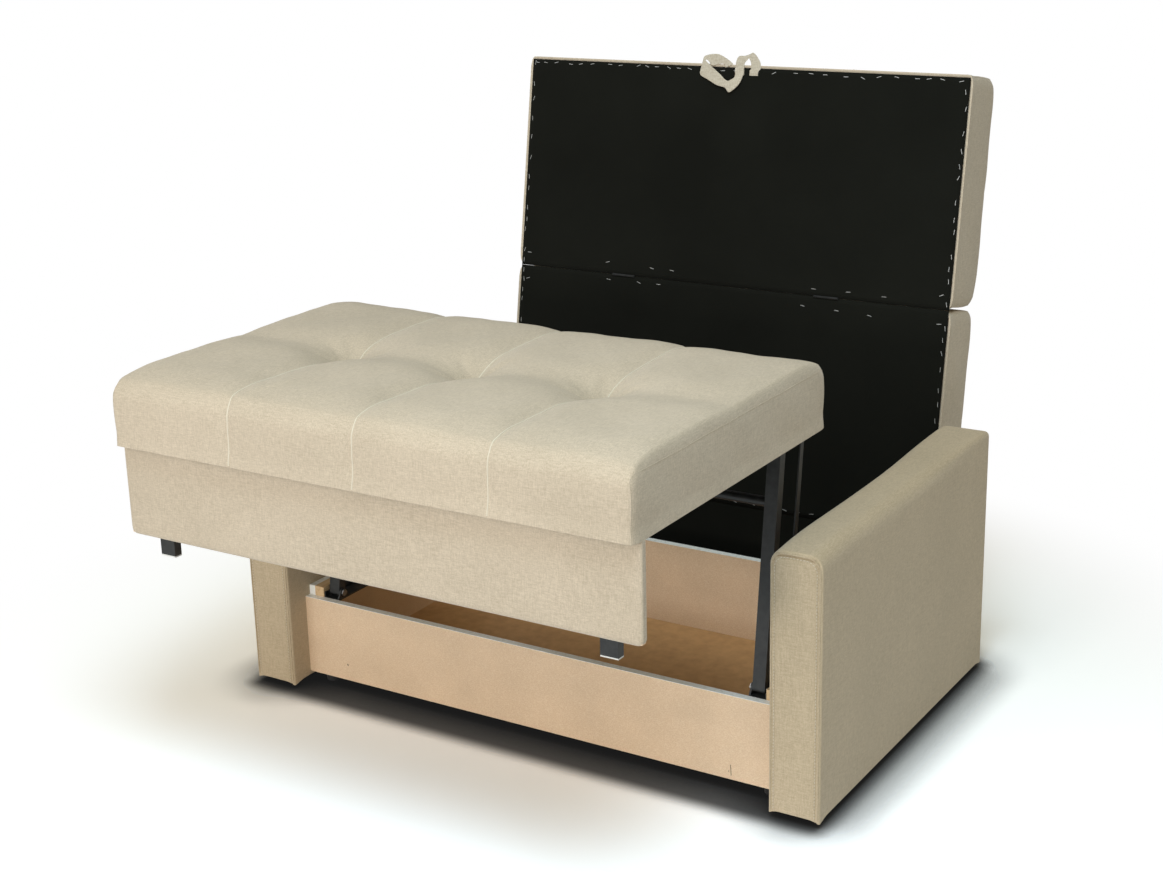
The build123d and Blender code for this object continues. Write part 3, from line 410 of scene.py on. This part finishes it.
def cushion_points(width, s0, s1, height, seed):
    """The photographed cushion: pillows between sewn channels, deep tufts, edges that pull in."""
    local = np.random.default_rng(seed)
    edge_radii, hidden_margin, hidden_rise = (0.011, 0.034, 0.030), 0.008, 0.006
    pillow_rise, crown, deepest_tuck, fullest_belly, edge_zone = 0.026, 0.004, 0.004, 0.004, 0.03
    xs = lines(-width / 2, width / 2, 0.0085, 0.030, 6)
    ss = lines(s0, s1, 0.0085, 0.030, 6)
    ts = lines(0.0, height, 0.010, 0.030, 7)
    grid, faces = box_shell(xs, ss, ts)
    middle, half_depth, pitch = (s0 + s1) / 2, (s1 - s0) / 2, width / 4
    out = rounded(grid, (-width / 2, s0, -0.05), (width / 2, s1, height), edge_radii)
    out[:, 2] = np.maximum(out[:, 2], 0.0)
    x, s, t = out.T
    top = smoothstep((grid[:, 2] - height * 0.55) / (height * 0.45))
    rim_x = np.clip((width / 2 - np.abs(x)) / 0.07, 0, 1)
    rim_s = np.clip(np.minimum(s - s0, s1 - s) / (0.32 * half_depth), 0, 1)
    u = np.abs(((x + width / 2) / pitch) % 1.0 * 2 - 1)
    reach = np.clip(np.abs(s - middle) / half_depth, 0, 1)
    lift = pillow_rise * (1 - (1 - rim_s) ** 2.3) * (1 - 0.35 * (1 - rim_x) ** 2)
    lift += crown * (1 - u ** 2) * (1 - reach) * rim_x
    dip = np.zeros_like(x)
    seams = [-pitch, 0.0, pitch]
    # Each seam is a narrow channel in a wide valley, with a tuft and short folds at its middle
    for place in seams:
        d = np.abs(x - place)
        r = np.hypot(x - place, s - middle)
        angle = np.arctan2(s - middle, x - place)
        dip += 0.0030 * bell(d, 0.007) + 0.0060 * bell(d, 0.028) * (0.35 + 0.65 * rim_s)
        dip += 0.006 * bell(d, 0.045) * bell(s - middle, 0.17)
        dip += 0.018 * bell(r, 0.026) + 0.024 * bell(r, 0.085)
        folds = 0.6 * np.cos(angle * 8 + place * 31) + 0.4 * np.cos(angle * 13 + 1.3 + place * 17)
        dip += 0.0032 * folds * bell(r - 0.055, 0.034)
    # The valley across the cushion, from tuft to tuft
    cross = np.abs(s - middle)
    dip += 0.0012 * bell(cross, 0.006) + 0.011 * bell(cross, 0.060) * (0.28 + 0.72 * rim_x)
    ripple = sum(a * np.sin(x * fx + px) * np.sin(s * fs + ps) for a, fx, fs, px, ps in (
        (0.0016, 15, 13, local.uniform(0, 6), local.uniform(0, 6)),
        (0.0009, 37, 29, local.uniform(0, 6), local.uniform(0, 6)),
        (0.0004, 83, 71, local.uniform(0, 6), local.uniform(0, 6))))
    t = t + top * (lift - dip + ripple)
    rise = np.clip(grid[:, 2] / height, 0, 1)
    belly = np.sin(rise * math.pi) * fullest_belly
    front = np.clip(1 - (s - s0) / edge_zone, 0, 1)
    rear = np.clip(1 - (s1 - s) / edge_zone, 0, 1)
    ends = np.clip(1 - (width / 2 - np.abs(x)) / edge_zone, 0, 1)
    pinch = sum(bell(np.abs(x - place), 0.008) * 0.004 + bell(np.abs(x - place), 0.05) * 0.004
                for place in seams) * smoothstep((rise - 0.02) / 0.4)
    above_foot = np.clip(rise * 5, 0, 1)
    tuck = deepest_tuck * above_foot
    s = s + front * (tuck - belly + pinch) - rear * (tuck - belly + 0.4 * pinch)
    x = x - np.sign(x) * ends * (tuck - belly * 0.8 + 0.0008 * np.sin(s * 31 + t * 40) * above_foot)
    # The bottom face is raised inside its rim, clear of the dark cloth
    inside = (grid[:, 2] < 1e-9) & (width / 2 - np.abs(grid[:, 0]) > hidden_margin)
    inside &= np.minimum(grid[:, 1] - s0, s1 - grid[:, 1]) > hidden_margin
    t = np.where(inside, hidden_rise, t)
    return np.stack([x, s, t], 1), faces, seams


def piping(name, path, radius, material, body):
    """A thin cord laid along a path of points, as for a raised seam."""
    curve = bpy.data.curves.new(name, "CURVE")
    curve.dimensions = "3D"
    curve.bevel_depth = radius
    curve.bevel_resolution = 1
    spline = curve.splines.new("POLY")
    spline.points.add(len(path) - 1)
    for point, p in zip(spline.points, path):
        point.co = (*p, 1)
    obj = bpy.data.objects.new(name, curve)
    bpy.context.scene.collection.objects.link(obj)
    curve.materials.append(material)
    mesh = bpy.data.meshes.new_from_object(obj)
    made = bpy.data.objects.new(name, mesh)
    bpy.context.scene.collection.objects.link(made)
    bpy.data.objects.remove(obj)
    for polygon in mesh.polygons:
        polygon.use_smooth = True
    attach(made, body)


def stitches(name, path, material, body, pitch, length):
    """A row of short thread stitches along a path of points, each with pinched ends."""
    radius, sides = 0.0007, 5
    levels = ((-0.5, 0.35), (-0.3, 1.0), (0.3, 1.0), (0.5, 0.35))
    path = [Vector(p) for p in path]
    points, faces = [], []
    travelled, target = 0.0, pitch / 2
    for a, b in zip(path, path[1:]):
        run = (b - a).length
        while target < travelled + run:
            centre = a.lerp(b, (target - travelled) / run)
            along = (b - a).normalized()
            side = along.orthogonal().normalized()
            up = along.cross(side)
            base = len(points)
            for step, size in levels:
                for turn in range(sides):
                    angle = turn * math.tau / sides
                    points.append(centre + along * length * step
                                  + (side * math.cos(angle) + up * math.sin(angle)) * radius * size)
            last = base + (len(levels) - 1) * sides
            for start in range(base, last, sides):
                for turn in range(sides):
                    i, j = start + turn, start + (turn + 1) % sides
                    faces.append((i, j, j + sides, i + sides))
            faces.append(tuple(range(base, base + sides))[::-1])
            faces.append(tuple(range(last, last + sides)))
            target += pitch
        travelled += run
    made = add_mesh(name, points, faces, material)
    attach(made, body)


def on_surface(tree, origins, direction, sink=0.0):
    """Where rays from the origins meet a cushion, each sunk a little into it."""
    direction = Vector(direction)
    found = []
    for origin in origins:
        hit = tree.ray_cast(Vector(origin), direction)[0]
        if hit is not None:
            found.append(hit + direction * sink)
    return found


def make_cushion(name, cad_node, to_row, width, s0, s1, height, seed, body):
    """A visible cushion in place of its solid, with pale thread along its seams, partly a painted highlight
    on each seam's ridge, and a cord at its ends.
    """
    points, faces, seams = cushion_points(width, s0, s1, height, seed)
    made = add_mesh(name, to_row(points), faces, fabric)
    face_outward(made.data)
    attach(made, body)
    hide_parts(cad_node)
    tree = BVHTree.FromPolygons([Vector(p) for p in points], faces)
    seam_radius, cord_radius, beside_seam, away = 0.0012, 0.0013, 0.0022, 0.1
    rise = np.linspace(0.004, height - 0.007, 26)
    run = np.linspace(s0 + 0.008, s1 - 0.008, 150)
    # A pale thread beside each seam: real thread, and partly a painted highlight along the seam's ridge
    for number, place in enumerate(seams):
        beside = place + beside_seam
        path = on_surface(tree, [(beside, s0 - away, t) for t in rise], (0, 1, 0))
        path += on_surface(tree, [(beside, s, 0.4) for s in run], (0, 0, -1))
        path += on_surface(tree, [(beside, s1 + away, t) for t in rise[::-1]], (0, -1, 0))
        row = to_row(np.array([tuple(p) for p in path]))
        piping(f"{name}_seam_{number}", row, seam_radius, thread, body)
    for side in (-1, 1):
        low, high = 0.010, height - 0.006
        sweep = [(s0 + 0.004, t) for t in np.linspace(low, high - 0.02, 10)]
        sweep += quarter_turn(s0 + 0.004, high, 0.020, 7, start=0.2)
        corner = sweep[::-1]
        sweep += [(s, high) for s in np.linspace(s0 + 0.04, s1 - 0.04, 60)]
        sweep += [(s0 + s1 - s, t) for s, t in corner]
        origins = [(side * (width / 2 + away), s, t) for s, t in sweep]
        outline = on_surface(tree, origins, (-side, 0, 0), sink=0.0006)
        row = to_row(np.array([tuple(p) for p in outline]))
        piping(f"{name}_cord_{'right' if side > 0 else 'left'}", row, cord_radius, fabric, body)


make_cushion("seat_cushion_soft", "seat_cushion", seat_point, SEAT_WIDTH, 0.0, SEAT_DEPTH,
             SEAT_HEIGHT, 3, "seat")
make_cushion("lower_cushion_soft", "lower_cushion", back_point, BACK_WIDTH, *LOWER,
             LOWER_HEIGHT, 5, "base")
make_cushion("upper_cushion_soft", "upper_cushion", back_point, BACK_WIDTH, *UPPER,
             UPPER_HEIGHT, 8, "upper_back")


# Armrests
def armrest(side):
    """A padded box with a rolled top that flattens to the rear, and a stitched front panel."""
    sign = -1 if side == "left" else 1
    edge_radius, front_drop = 0.006, 0.008
    stitch_gap, welt_gap, welt_radius, foot_gap = 0.012, 0.0048, 0.0015, 0.004
    w, d = ARMREST["width"], ARMREST["depth"]
    z0, z1 = ARMREST["bottom"], ARMREST["top"]
    xs = lines(0, w, 0.007, 0.040, 10)
    ys = lines(0, d, 0.0100, 0.006, 6)
    zs = lines(z0, z1, 0.0110, 0.042, 10)
    points, faces = box_shell(xs, ys, zs)
    # Beyond the box in depth and below, so that only the long top edges are rounded
    reach_low, reach_high = (0, -1, z0 - 0.2), (w, d + 1, z1)
    full = rounded(points, reach_low, reach_high, (0.034, edge_radius, 0.036))
    tight = rounded(points, reach_low, reach_high, (0.012, edge_radius, 0.012))
    back = smoothstep((points[:, 1:2] / d - 0.55) / 0.45)
    x, y, z = (full * (1 - back) + tight * back).T
    level = np.clip((z - z0) / (z1 - z0), 0, 1)
    far = np.clip(edge_radius - np.minimum(y, d - y), 0, edge_radius)
    inset = edge_radius - np.sqrt(edge_radius ** 2 - far ** 2)
    x = w / 2 + (x - w / 2) * (1 - 2 * inset / w)
    z = z - inset * level
    top = smoothstep((z - (z1 - 0.12)) / 0.12)
    for face, reach, drop in ((0.0, 0.17, front_drop), (d, 0.05, 0.003)):
        near = np.clip(1 - np.abs(y - face) / reach, 0, 1)
        z = z - near ** 2 * drop * top
    puff = 0.0024 * np.sin(np.clip(y / d, 0, 1) * math.pi) * np.sin(level * math.pi)
    x = np.where(points[:, 0] < w / 2, x - puff, x + puff)
    z = z + top * 0.0014 * np.sin(y * 9 + sign)
    # The cover hangs a little lower at its corners
    ear = bell(np.minimum(x, w - x), 0.014) * bell(np.minimum(y, d - y), 0.022)
    z = z - 0.007 * ear * np.clip(1 - (z - z0) / 0.04, 0, 1)
    edge = np.minimum(np.minimum(x, w - x), z1 - front_drop - z)
    front = np.clip(1 - y / edge_radius, 0, 1)
    seam = 0.0022 * bell(edge - 0.0095, 0.0024)
    panel = 0.0015 * smoothstep((edge - 0.008) / 0.02)
    y = y + front * (seam - panel) + front * 0.001
    shift = ARMREST["inner"] if sign > 0 else -ARMREST["inner"] - w
    row = np.stack([x + shift, y - CENTRE_Y, z], 1)
    made = add_mesh(f"armrest_{side}_soft", row, faces, arm_fabric)
    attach(made, "base")
    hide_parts(f"armrest_upholstery_{side}")
    outline = [(stitch_gap, z0 + foot_gap)]
    outline += quarter_turn(stitch_gap, z1 - front_drop - stitch_gap, 0.026, 9)
    outline += [(w - px, pz) for px, pz in outline[::-1]]
    stitches(f"armrest_{side}_stitches", [(px + shift, -CENTRE_Y - 0.0004, pz) for px, pz in outline],
             thread, "base", pitch=0.0075, length=0.005)
    welt = [(welt_gap, z0 + foot_gap)] + quarter_turn(welt_gap, z1 - front_drop - welt_gap, 0.030, 9)
    welt += [(w - px, pz) for px, pz in welt[::-1]]
    piping(f"armrest_{side}_welt", [(px + shift, -CENTRE_Y + 0.0008, pz) for px, pz in welt],
           welt_radius, arm_fabric, "base")


armrest("left")
armrest("right")


# Apron
def apron():
    """The seat's front board in its cloth, with soft edges and turned lower corners."""
    setback, thickness, drop = 0.025, 0.020, 0.208
    low = Vector((-SEAT_WIDTH / 2, SEAT_ORIGIN.y + setback, SEAT_ORIGIN.z - drop))
    high = Vector((SEAT_WIDTH / 2, low.y + thickness, SEAT_ORIGIN.z))
    xs = lines(low.x, high.x, 0.015, 0.02, 6)
    ys = lines(low.y, high.y, 0.004, 0.006, 4)
    zs = lines(low.z, high.z, 0.012, 0.02, 6)
    points, faces = box_shell(xs, ys, zs)
    out = rounded(points, low, (high.x, high.y, high.z + 0.1), (0.014, 0.005, 0.014))
    x, y, z = out.T
    z = np.minimum(z, high.z)
    face = np.clip(1 - (y - low.y) / 0.004, 0, 1)
    y = y + face * 0.0008 * (np.sin(x * 13) * np.sin(z * 19))
    made = add_mesh("apron_soft", np.stack([x, y, z], 1), faces, fabric)
    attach(made, "seat")
    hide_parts("apron_cover")


apron()


# Underside cloths with staples
def staple(points, faces, centre, along, across, off):
    """One wire staple, slightly crooked, standing a little off the cloth."""
    tilt = float(rng.normal(0, 0.22))
    direction = (along * math.cos(tilt) + across * math.sin(tilt)).normalized()
    side = direction.cross(off).normalized()
    centre = centre + across * float(rng.normal(0, 0.0014))
    half, wire, base = 0.006, 0.0006, len(points)
    for step in (-1, 1):
        for a, b in ((-1, 0), (1, 0), (1, 1), (-1, 1)):
            height = 0.0003 + 0.0005 * b
            points.append(centre + direction * half * step + side * wire * a + off * height)
    faces += [(base, base + 1, base + 2, base + 3), (base + 7, base + 6, base + 5, base + 4)]
    for k in range(4):
        m = (k + 1) % 4
        faces.append((base + k, base + 4 + k, base + 4 + m, base + m))


def staple_row(points, faces, start, end, across, off, pitch):
    """Staples from start to end at an uneven pitch."""
    along = (end - start).normalized()
    run, place = (end - start).length, 0.006
    while place < run:
        staple(points, faces, start + along * place, along, across, off)
        place += pitch * float(rng.uniform(0.45, 1.15))


def underside(name, cad_node, origin, along, off, width, s0, s1, body, fold=0, groups=(), slack=0.00015):
    """The dark cloth of a section, gently uneven, stapled round its edges and at its hinges.

    fold is 1 for the section below the fold, -1 for the one above it and 0 for the seat. The seat's
    cloth has no slack, so that it stays clear of the box's battens.
    """
    margin, flap, foot = 0.007, 0.0037, 0.0012
    low = s0 + {1: -foot, 0: margin, -1: -flap}[fold]
    high = s1 + (flap if fold > 0 else -margin)
    xs = np.linspace(-width / 2 + margin, width / 2 - margin, 90)
    ss = np.linspace(low, high, 46)
    points = []
    outer = 0.0002 if slack else -0.0001
    for base_off in (outer, -0.0006):
        for x in xs:
            for s in ss:
                rim = min(x - xs[0], xs[-1] - x, s - ss[0], ss[-1] - s)
                sag = slack * min(1, rim / 0.05) * (math.sin(x * 11 + s * 5) * math.sin(s * 13 + 1) + 1)
                points.append(origin + Vector((x, 0, 0)) + along * s + off * (base_off + sag))
    made = add_mesh(name, points, sheet_faces(len(xs), len(ss)), dark_cloth)
    face_outward(made.data)
    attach(made, body)
    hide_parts(cad_node)
    points, faces = [], []
    inset, pitch, sunk = 0.008, 0.055, 0 if slack else 0.0007
    w, a, b = width / 2 - margin - inset, low + inset, high - inset

    def at(x, s):
        return origin + Vector((x, 0, 0)) + along * s - off * sunk

    right = Vector((1, 0, 0))
    if fold >= 0:
        staple_row(points, faces, at(-w, a), at(-0.02, a), along, off, pitch)
        staple_row(points, faces, at(0.08, a), at(w, a), along, off, pitch)
    if fold <= 0:
        staple_row(points, faces, at(-w, b), at(w, b), along, off, pitch)
    staple_row(points, faces, at(-w, a), at(-w, b), right, off, pitch)
    staple_row(points, faces, at(w, a), at(w, b), right, off, pitch)
    for x, s in groups:
        staple(points, faces, at(x, s), right, along, off)
    staples = add_mesh(name + "_staples", points, faces, staple_steel, smooth=False)
    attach(staples, body)


# Directions of the leaning sections, and staples (across, along) as the photo shows them
slope = Vector((0, math.sin(LEAN), math.cos(LEAN)))
toward_front = Vector((0, -math.cos(LEAN), math.sin(LEAN)))
below_fold = [(-0.345, 0.606), (-0.250, 0.604), (-0.190, 0.606),
              (0.235, 0.592), (0.330, 0.590), (0.420, 0.588),
              (-0.605, 0.585), (0.605, 0.585)]
above_fold = [(-0.351, 0.650), (-0.213, 0.648), (-0.152, 0.646),
              (0.262, 0.638), (0.358, 0.640), (0.455, 0.637),
              (-0.605, 0.655), (0.605, 0.655)]
underside("lower_cloth_soft", "lower_underside_cloth", BACK_ORIGIN, slope, toward_front, BACK_WIDTH, *LOWER,
          "base", fold=1, groups=below_fold)
underside("upper_cloth_soft", "upper_underside_cloth", BACK_ORIGIN, slope, toward_front, BACK_WIDTH, *UPPER,
          "upper_back", fold=-1, groups=above_fold)
underside("seat_cloth_soft", "seat_underside_cloth", SEAT_ORIGIN, Vector((0, 1, 0)), Vector((0, 0, -1)),
          SEAT_WIDTH, 0.0, SEAT_DEPTH, "seat", slack=0)


def rear_closing_cloth():
    """The dark cloth between the lower section and the box's rear stretcher, hanging a little slack."""
    low, high = (Vector(c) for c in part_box("rear_cloth"))
    high.z += 0.0012
    xs, zs = np.linspace(low.x, high.x, 80), np.linspace(low.z, high.z, 24)
    points = []
    for y in (low.y + 0.0002, high.y):
        for x in xs:
            for z in zs:
                rim = min(x - xs[0], xs[-1] - x, z - zs[0], zs[-1] - z)
                slack = 0.0025 * min(1, rim / 0.06) * (1 + math.sin(x * 9 + 1) * math.sin(z * 17))
                points.append((x, y + slack, z))
    made = add_mesh("rear_cloth_soft", points, sheet_faces(len(xs), len(zs)), dark_cloth)
    face_outward(made.data)
    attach(made, "base")
    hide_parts("rear_cloth")


rear_closing_cloth()


# Pull strap
def smooth_path(knots, steps):
    """A smooth curve through the knots."""
    knots = [np.array(k, float) for k in knots]
    fine = []
    for n in range(len(knots) - 1):
        p0, p1, p2, p3 = (knots[max(0, min(len(knots) - 1, n + k))] for k in (-1, 0, 1, 2))
        for u in np.linspace(0, 1, steps, endpoint=False):
            fine.append(0.5 * (2 * p1 + (p2 - p0) * u + (2 * p0 - 5 * p1 + 4 * p2 - p3) * u ** 2
                               + (3 * p1 - p0 - 3 * p2 + p3) * u ** 3))
    return fine + [knots[-1]]


def strap():
    """The webbing loop: a folded lobe to the left, its tip hanging down, and a small lobe on the right."""
    top, middle = UPPER[1] - 0.0075, 0.027
    # The two edges of the webbing along its run, each (across, along the slope, off the cloth) in mm
    edges = [((8, -14, 2.5), (32, -14, 2.5)), ((9, -6, 2.4), (34, -6, 2.4)),
             ((12, 0, 1.7), (39, 0, 1.7)), ((11, 7, 1.7), (38, 12, 1.7)),
             ((10, 14, 1.75), (33, 22, 1.8)), ((6, 22, 2.0), (22, 35, 2.0)),
             ((-3, 29, 2.2), (11, 39, 2.2)), ((-23, 30, 2.8), (2, 23, 2.7)),
             ((-32, 18, 1.8), (-7, 13, 1.75)), ((-33, 4, 1.7), (-8, 0, 1.75)),
             ((-34, -5, 2.35), (-9, -6, 2.35)), ((-33, -23, 4.2), (-9, -17, 3.1)),
             ((-42, -31, 7), (-18, -42, 7)), ((-50, -34, 7), (-43, -63, 8)),
             ((-60, -30, 7), (-57, -52, 8)), ((-77, -17, 3.3), (-82, -46, 7)),
             ((-101, 0, 2.6), (-110, -33, 5)), ((-127, 22, 2.7), (-135, -18, 3.2)),
             ((-111, 31, 2.0), (-120, 17, 2.0)), ((-88, 33, 1.9), (-101, 3, 1.9)),
             ((-74, 29, 1.9), (-85, 7, 1.9)), ((-54, 19, 1.8), (-68, 8, 1.8)),
             ((-40, 9, 1.7), (-62, -1, 1.8))]
    one = smooth_path([a for a, _ in edges], 6)
    two = smooth_path([b for _, b in edges], 6)
    # Kept off the cloth, yet low enough for the gap between the folded sections
    for p in one + two:
        p[2] = min(max(p[2], 1.66), 2.9 + 0.4 * max(0, -17.5 - p[1]))

    def place(p):
        across, up, off = (c / 1000 for c in p)
        return BACK_ORIGIN + Vector((middle + across, 0, 0)) + slope * (top + up) + toward_front * off

    rows = [[place(p + (q - p) * k) for k in (0, 0.05, 0.3, 0.7, 0.95, 1)] for p, q in zip(one, two)]
    points, faces = [], []
    for n, row in enumerate(rows):
        ahead, before = rows[min(n + 1, len(rows) - 1)], rows[max(n - 1, 0)]
        # Thicker only where it hangs clear of that gap
        free = min(1, max(0, (-14 - (one[n] + two[n])[1] / 2) / 15))
        for k, point in enumerate(row):
            face = (row[-1] - row[0]).cross(ahead[k] - before[k]).normalized()
            thick = 0.0002 + 0.0006 * free
            thick *= 0.5 if k in (0, 5) else 1
            points += [point - face * thick, point + face * thick]
    ring = [0, 2, 4, 6, 8, 10, 11, 9, 7, 5, 3, 1]
    size = len(ring)
    for n in range(len(rows) - 1):
        here, after = n * size, (n + 1) * size
        faces += [(here + a, here + b, after + b, after + a) for a, b in zip(ring, ring[1:] + ring[:1])]
    faces.append(tuple(ring[::-1]))
    faces.append(tuple((len(rows) - 1) * size + r for r in ring))
    made = add_mesh("pull_strap_soft", points, faces, webbing)
    face_outward(made.data)
    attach(made, "strap")
    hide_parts("pull_strap")


strap()


def marks():
    """A scratch and two small nicks in the front panel's chipboard, as in the photo."""
    proud, depth = 0.0002, 0.0012
    face = FRONT_PANEL_Y - proud
    points, faces = [], []
    for shape in ([(0.5316, 0.063), (0.5330, 0.064), (0.5340, 0.052),
                   (0.5345, 0.038), (0.5331, 0.037), (0.5327, 0.051)],
                  [(0.5270, 0.047), (0.5288, 0.049), (0.5283, 0.044)],
                  [(-0.5352, 0.070), (-0.5335, 0.073), (-0.5306, 0.069), (-0.5322, 0.066)]):
        base = len(points)
        points += [(px, face, pz) for px, pz in shape]
        points += [(px, face + depth, pz) for px, pz in shape]
        n = len(shape)
        faces.append(tuple(range(base, base + n)))
        faces.append(tuple(range(base + 2 * n - 1, base + n - 1, -1)))
        faces += [(base + k, base + n + k, base + n + (k + 1) % n, base + (k + 1) % n) for k in range(n)]
    made = add_mesh("front_panel_marks", points, faces, mark_brown, smooth=False)
    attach(made, "base")


marks()

# Studio floor: lit paper with a painted contact shadow and a painted dark patch under the sofa, fading to
# plain white round the sofa
FLOOR_GLOW = 0.03
CONTACT_REACH, CONTACT_POWER = 0.14, 2.6
FOOTPRINT_MIDDLE = (0, ARMREST["depth"] / 2 - CENTRE_Y, 0)
FOOTPRINT_HALF = (ARMREST["inner"] + ARMREST["width"] - 0.015, ARMREST["depth"] / 2, 1)
FOOTPRINT_SHADE, FOOTPRINT_SOFTNESS = 0.12, 0.06
FADE_START, FADE_END = 1.0, 1.9

floor_mat, floor_tree, floor_shader = new_material("studio_floor", (0.82, 0.865, 0.94), 0.9)


def soft_range(source, start, end, low=0.0, high=1.0):
    """A soft rise from low to high as the source goes from start to end."""
    made = node(floor_tree, "ShaderNodeMapRange", interpolation_type="SMOOTHSTEP",
                **{"From Min": start, "From Max": end, "To Min": low, "To Max": high})
    floor_tree.links.new(source, made.inputs["Value"])
    return made.outputs["Result"]


def join(kind, *sources):
    """A node of a kind with the sources on its first inputs."""
    made = node(floor_tree, kind)
    for source, socket in zip(sources, made.inputs):
        floor_tree.links.new(source, socket)
    return made.outputs[0]


def emission(colour, strength):
    """Plain light of one colour."""
    return node(floor_tree, "ShaderNodeEmission", Color=(*colour, 1), Strength=strength).outputs[0]


position = node(floor_tree, "ShaderNodeNewGeometry").outputs["Position"]
seen = node(floor_tree, "ShaderNodeLightPath").outputs["Is Camera Ray"]
bright = node(floor_tree, "ShaderNodeBsdfDiffuse", Color=(0.62, 0.62, 0.62, 1)).outputs[0]
open_sky = node(floor_tree, "ShaderNodeAmbientOcclusion", Distance=CONTACT_REACH)
open_sky.samples = 8
from_middle = chain(floor_tree, position, ("VectorMath", "LENGTH", None))
past_footprint = chain(floor_tree, position,
                       ("VectorMath", "SUBTRACT", FOOTPRINT_MIDDLE), ("VectorMath", "ABSOLUTE", None),
                       ("VectorMath", "SUBTRACT", FOOTPRINT_HALF), ("VectorMath", "MAXIMUM", (0, 0, 0)),
                       ("VectorMath", "LENGTH", None))
# Painted shadow: the floor is darkened inside the sofa's footprint, softly at its edge
shade = soft_range(past_footprint, 0.0, FOOTPRINT_SOFTNESS, low=FOOTPRINT_SHADE)
fade = soft_range(from_middle, FADE_START, FADE_END)
openness = node(floor_tree, "ShaderNodeMath", operation="MULTIPLY")
# Painted shade: ambient occlusion, raised to a power, darkens the floor close to the sofa
deepened = chain(floor_tree, open_sky.outputs["AO"], ("Math", "POWER", CONTACT_POWER))
floor_tree.links.new(deepened, openness.inputs[0])
floor_tree.links.new(shade, openness.inputs[1])
strong = join("ShaderNodeAddShader", floor_shader.outputs[0], bright)
lit = join("ShaderNodeAddShader", strong, emission((1, 1, 1), FLOOR_GLOW))
contact = join("ShaderNodeMixShader", openness.outputs[0], emission((0.01,) * 3, 1.0), lit)
away = join("ShaderNodeMixShader", fade, contact, emission((1, 1, 1), 1.0))
# The painted shadows are seen by the camera only; other rays meet the plain floor
pick = join("ShaderNodeMixShader", seen, floor_shader.outputs[0], away)
floor_tree.links.new(pick, floor_tree.nodes["Material Output"].inputs["Surface"])
bpy.ops.mesh.primitive_plane_add(size=60, location=(0, 0, -0.0002))
floor = bpy.context.object
floor.name = "studio_floor"
floor.data.materials.append(floor_mat)

# World: warm and dim as a light, plain white to the camera and in reflections
world = bpy.data.worlds.new("studio")
bpy.context.scene.world = world
world.use_nodes = True
sky = world.node_tree
background = sky.nodes["Background"]
background.inputs["Color"].default_value = (1, 0.86, 0.55, 1)
background.inputs["Strength"].default_value = 0.31
white = node(sky, "ShaderNodeBackground", Color=(1, 1, 1, 1), Strength=1.0)
direct = node(sky, "ShaderNodeLightPath")
either = node(sky, "ShaderNodeMath", operation="MAXIMUM")
blend = node(sky, "ShaderNodeMixShader")
sky.links.new(direct.outputs["Is Camera Ray"], either.inputs[0])
sky.links.new(direct.outputs["Is Glossy Ray"], either.inputs[1])
sky.links.new(either.outputs[0], blend.inputs[0])
sky.links.new(background.outputs[0], blend.inputs[1])
sky.links.new(white.outputs[0], blend.inputs[2])
sky.links.new(blend.outputs[0], sky.nodes["World Output"].inputs["Surface"])


# Lights
def area_light(name, place, target, size, power, colour):
    """A soft square light that faces a target."""
    data = bpy.data.lights.new(name, "AREA")
    data.size = size
    data.energy = power
    data.color = colour
    made = bpy.data.objects.new(name, data)
    made.location = place
    made.rotation_mode = "QUATERNION"
    made.rotation_quaternion = (Vector(target) - Vector(place)).to_track_quat("-Z", "Y")
    bpy.context.scene.collection.objects.link(made)


area_light("key", (-1.6, -5.0, 2.9), (0, 0, 0.6), 2.4, 58, (1, 0.99, 1))
area_light("low", (0.1, -6.0, 1.72), (0.1, 0.5, 0.2), 0.8, 98, (1, 0.965, 0.93))
area_light("top", (1.3, -1.7, 4.2), (0.2, 0, 0.4), 2.0, 98, (0.76, 0.94, 1.06))

# Camera, solved from the photo's straight edges
PHOTO_WIDTH, SENSOR_WIDTH = 1163, 36
CAMERA = {"azimuth": 32.293, "elevation": 17.419, "roll": -1.474, "focal_px": 1884.417,
          "place": (2.25924059, -3.24520480 - CENTRE_Y, 1.99309627)}
az, el, roll = (math.radians(CAMERA[k]) for k in ("azimuth", "elevation", "roll"))
forward = Vector((-math.sin(az) * math.cos(el), math.cos(az) * math.cos(el), -math.sin(el)))
right = Vector((math.cos(az), math.sin(az), 0))
up = right.cross(forward)
right, up = right * math.cos(roll) + up * math.sin(roll), -right * math.sin(roll) + up * math.cos(roll)
camera_data = bpy.data.cameras.new("camera")
camera_data.sensor_width = SENSOR_WIDTH
camera_data.lens = CAMERA["focal_px"] / PHOTO_WIDTH * SENSOR_WIDTH
camera_data.clip_end = 100
camera = bpy.data.objects.new("camera", camera_data)
turn = Matrix((right, up, -forward)).transposed().to_4x4()
camera.matrix_world = Matrix.Translation(CAMERA["place"]) @ turn
bpy.context.scene.collection.objects.link(camera)
bpy.context.scene.camera = camera
bpy.context.scene.view_settings.view_transform = "Standard"
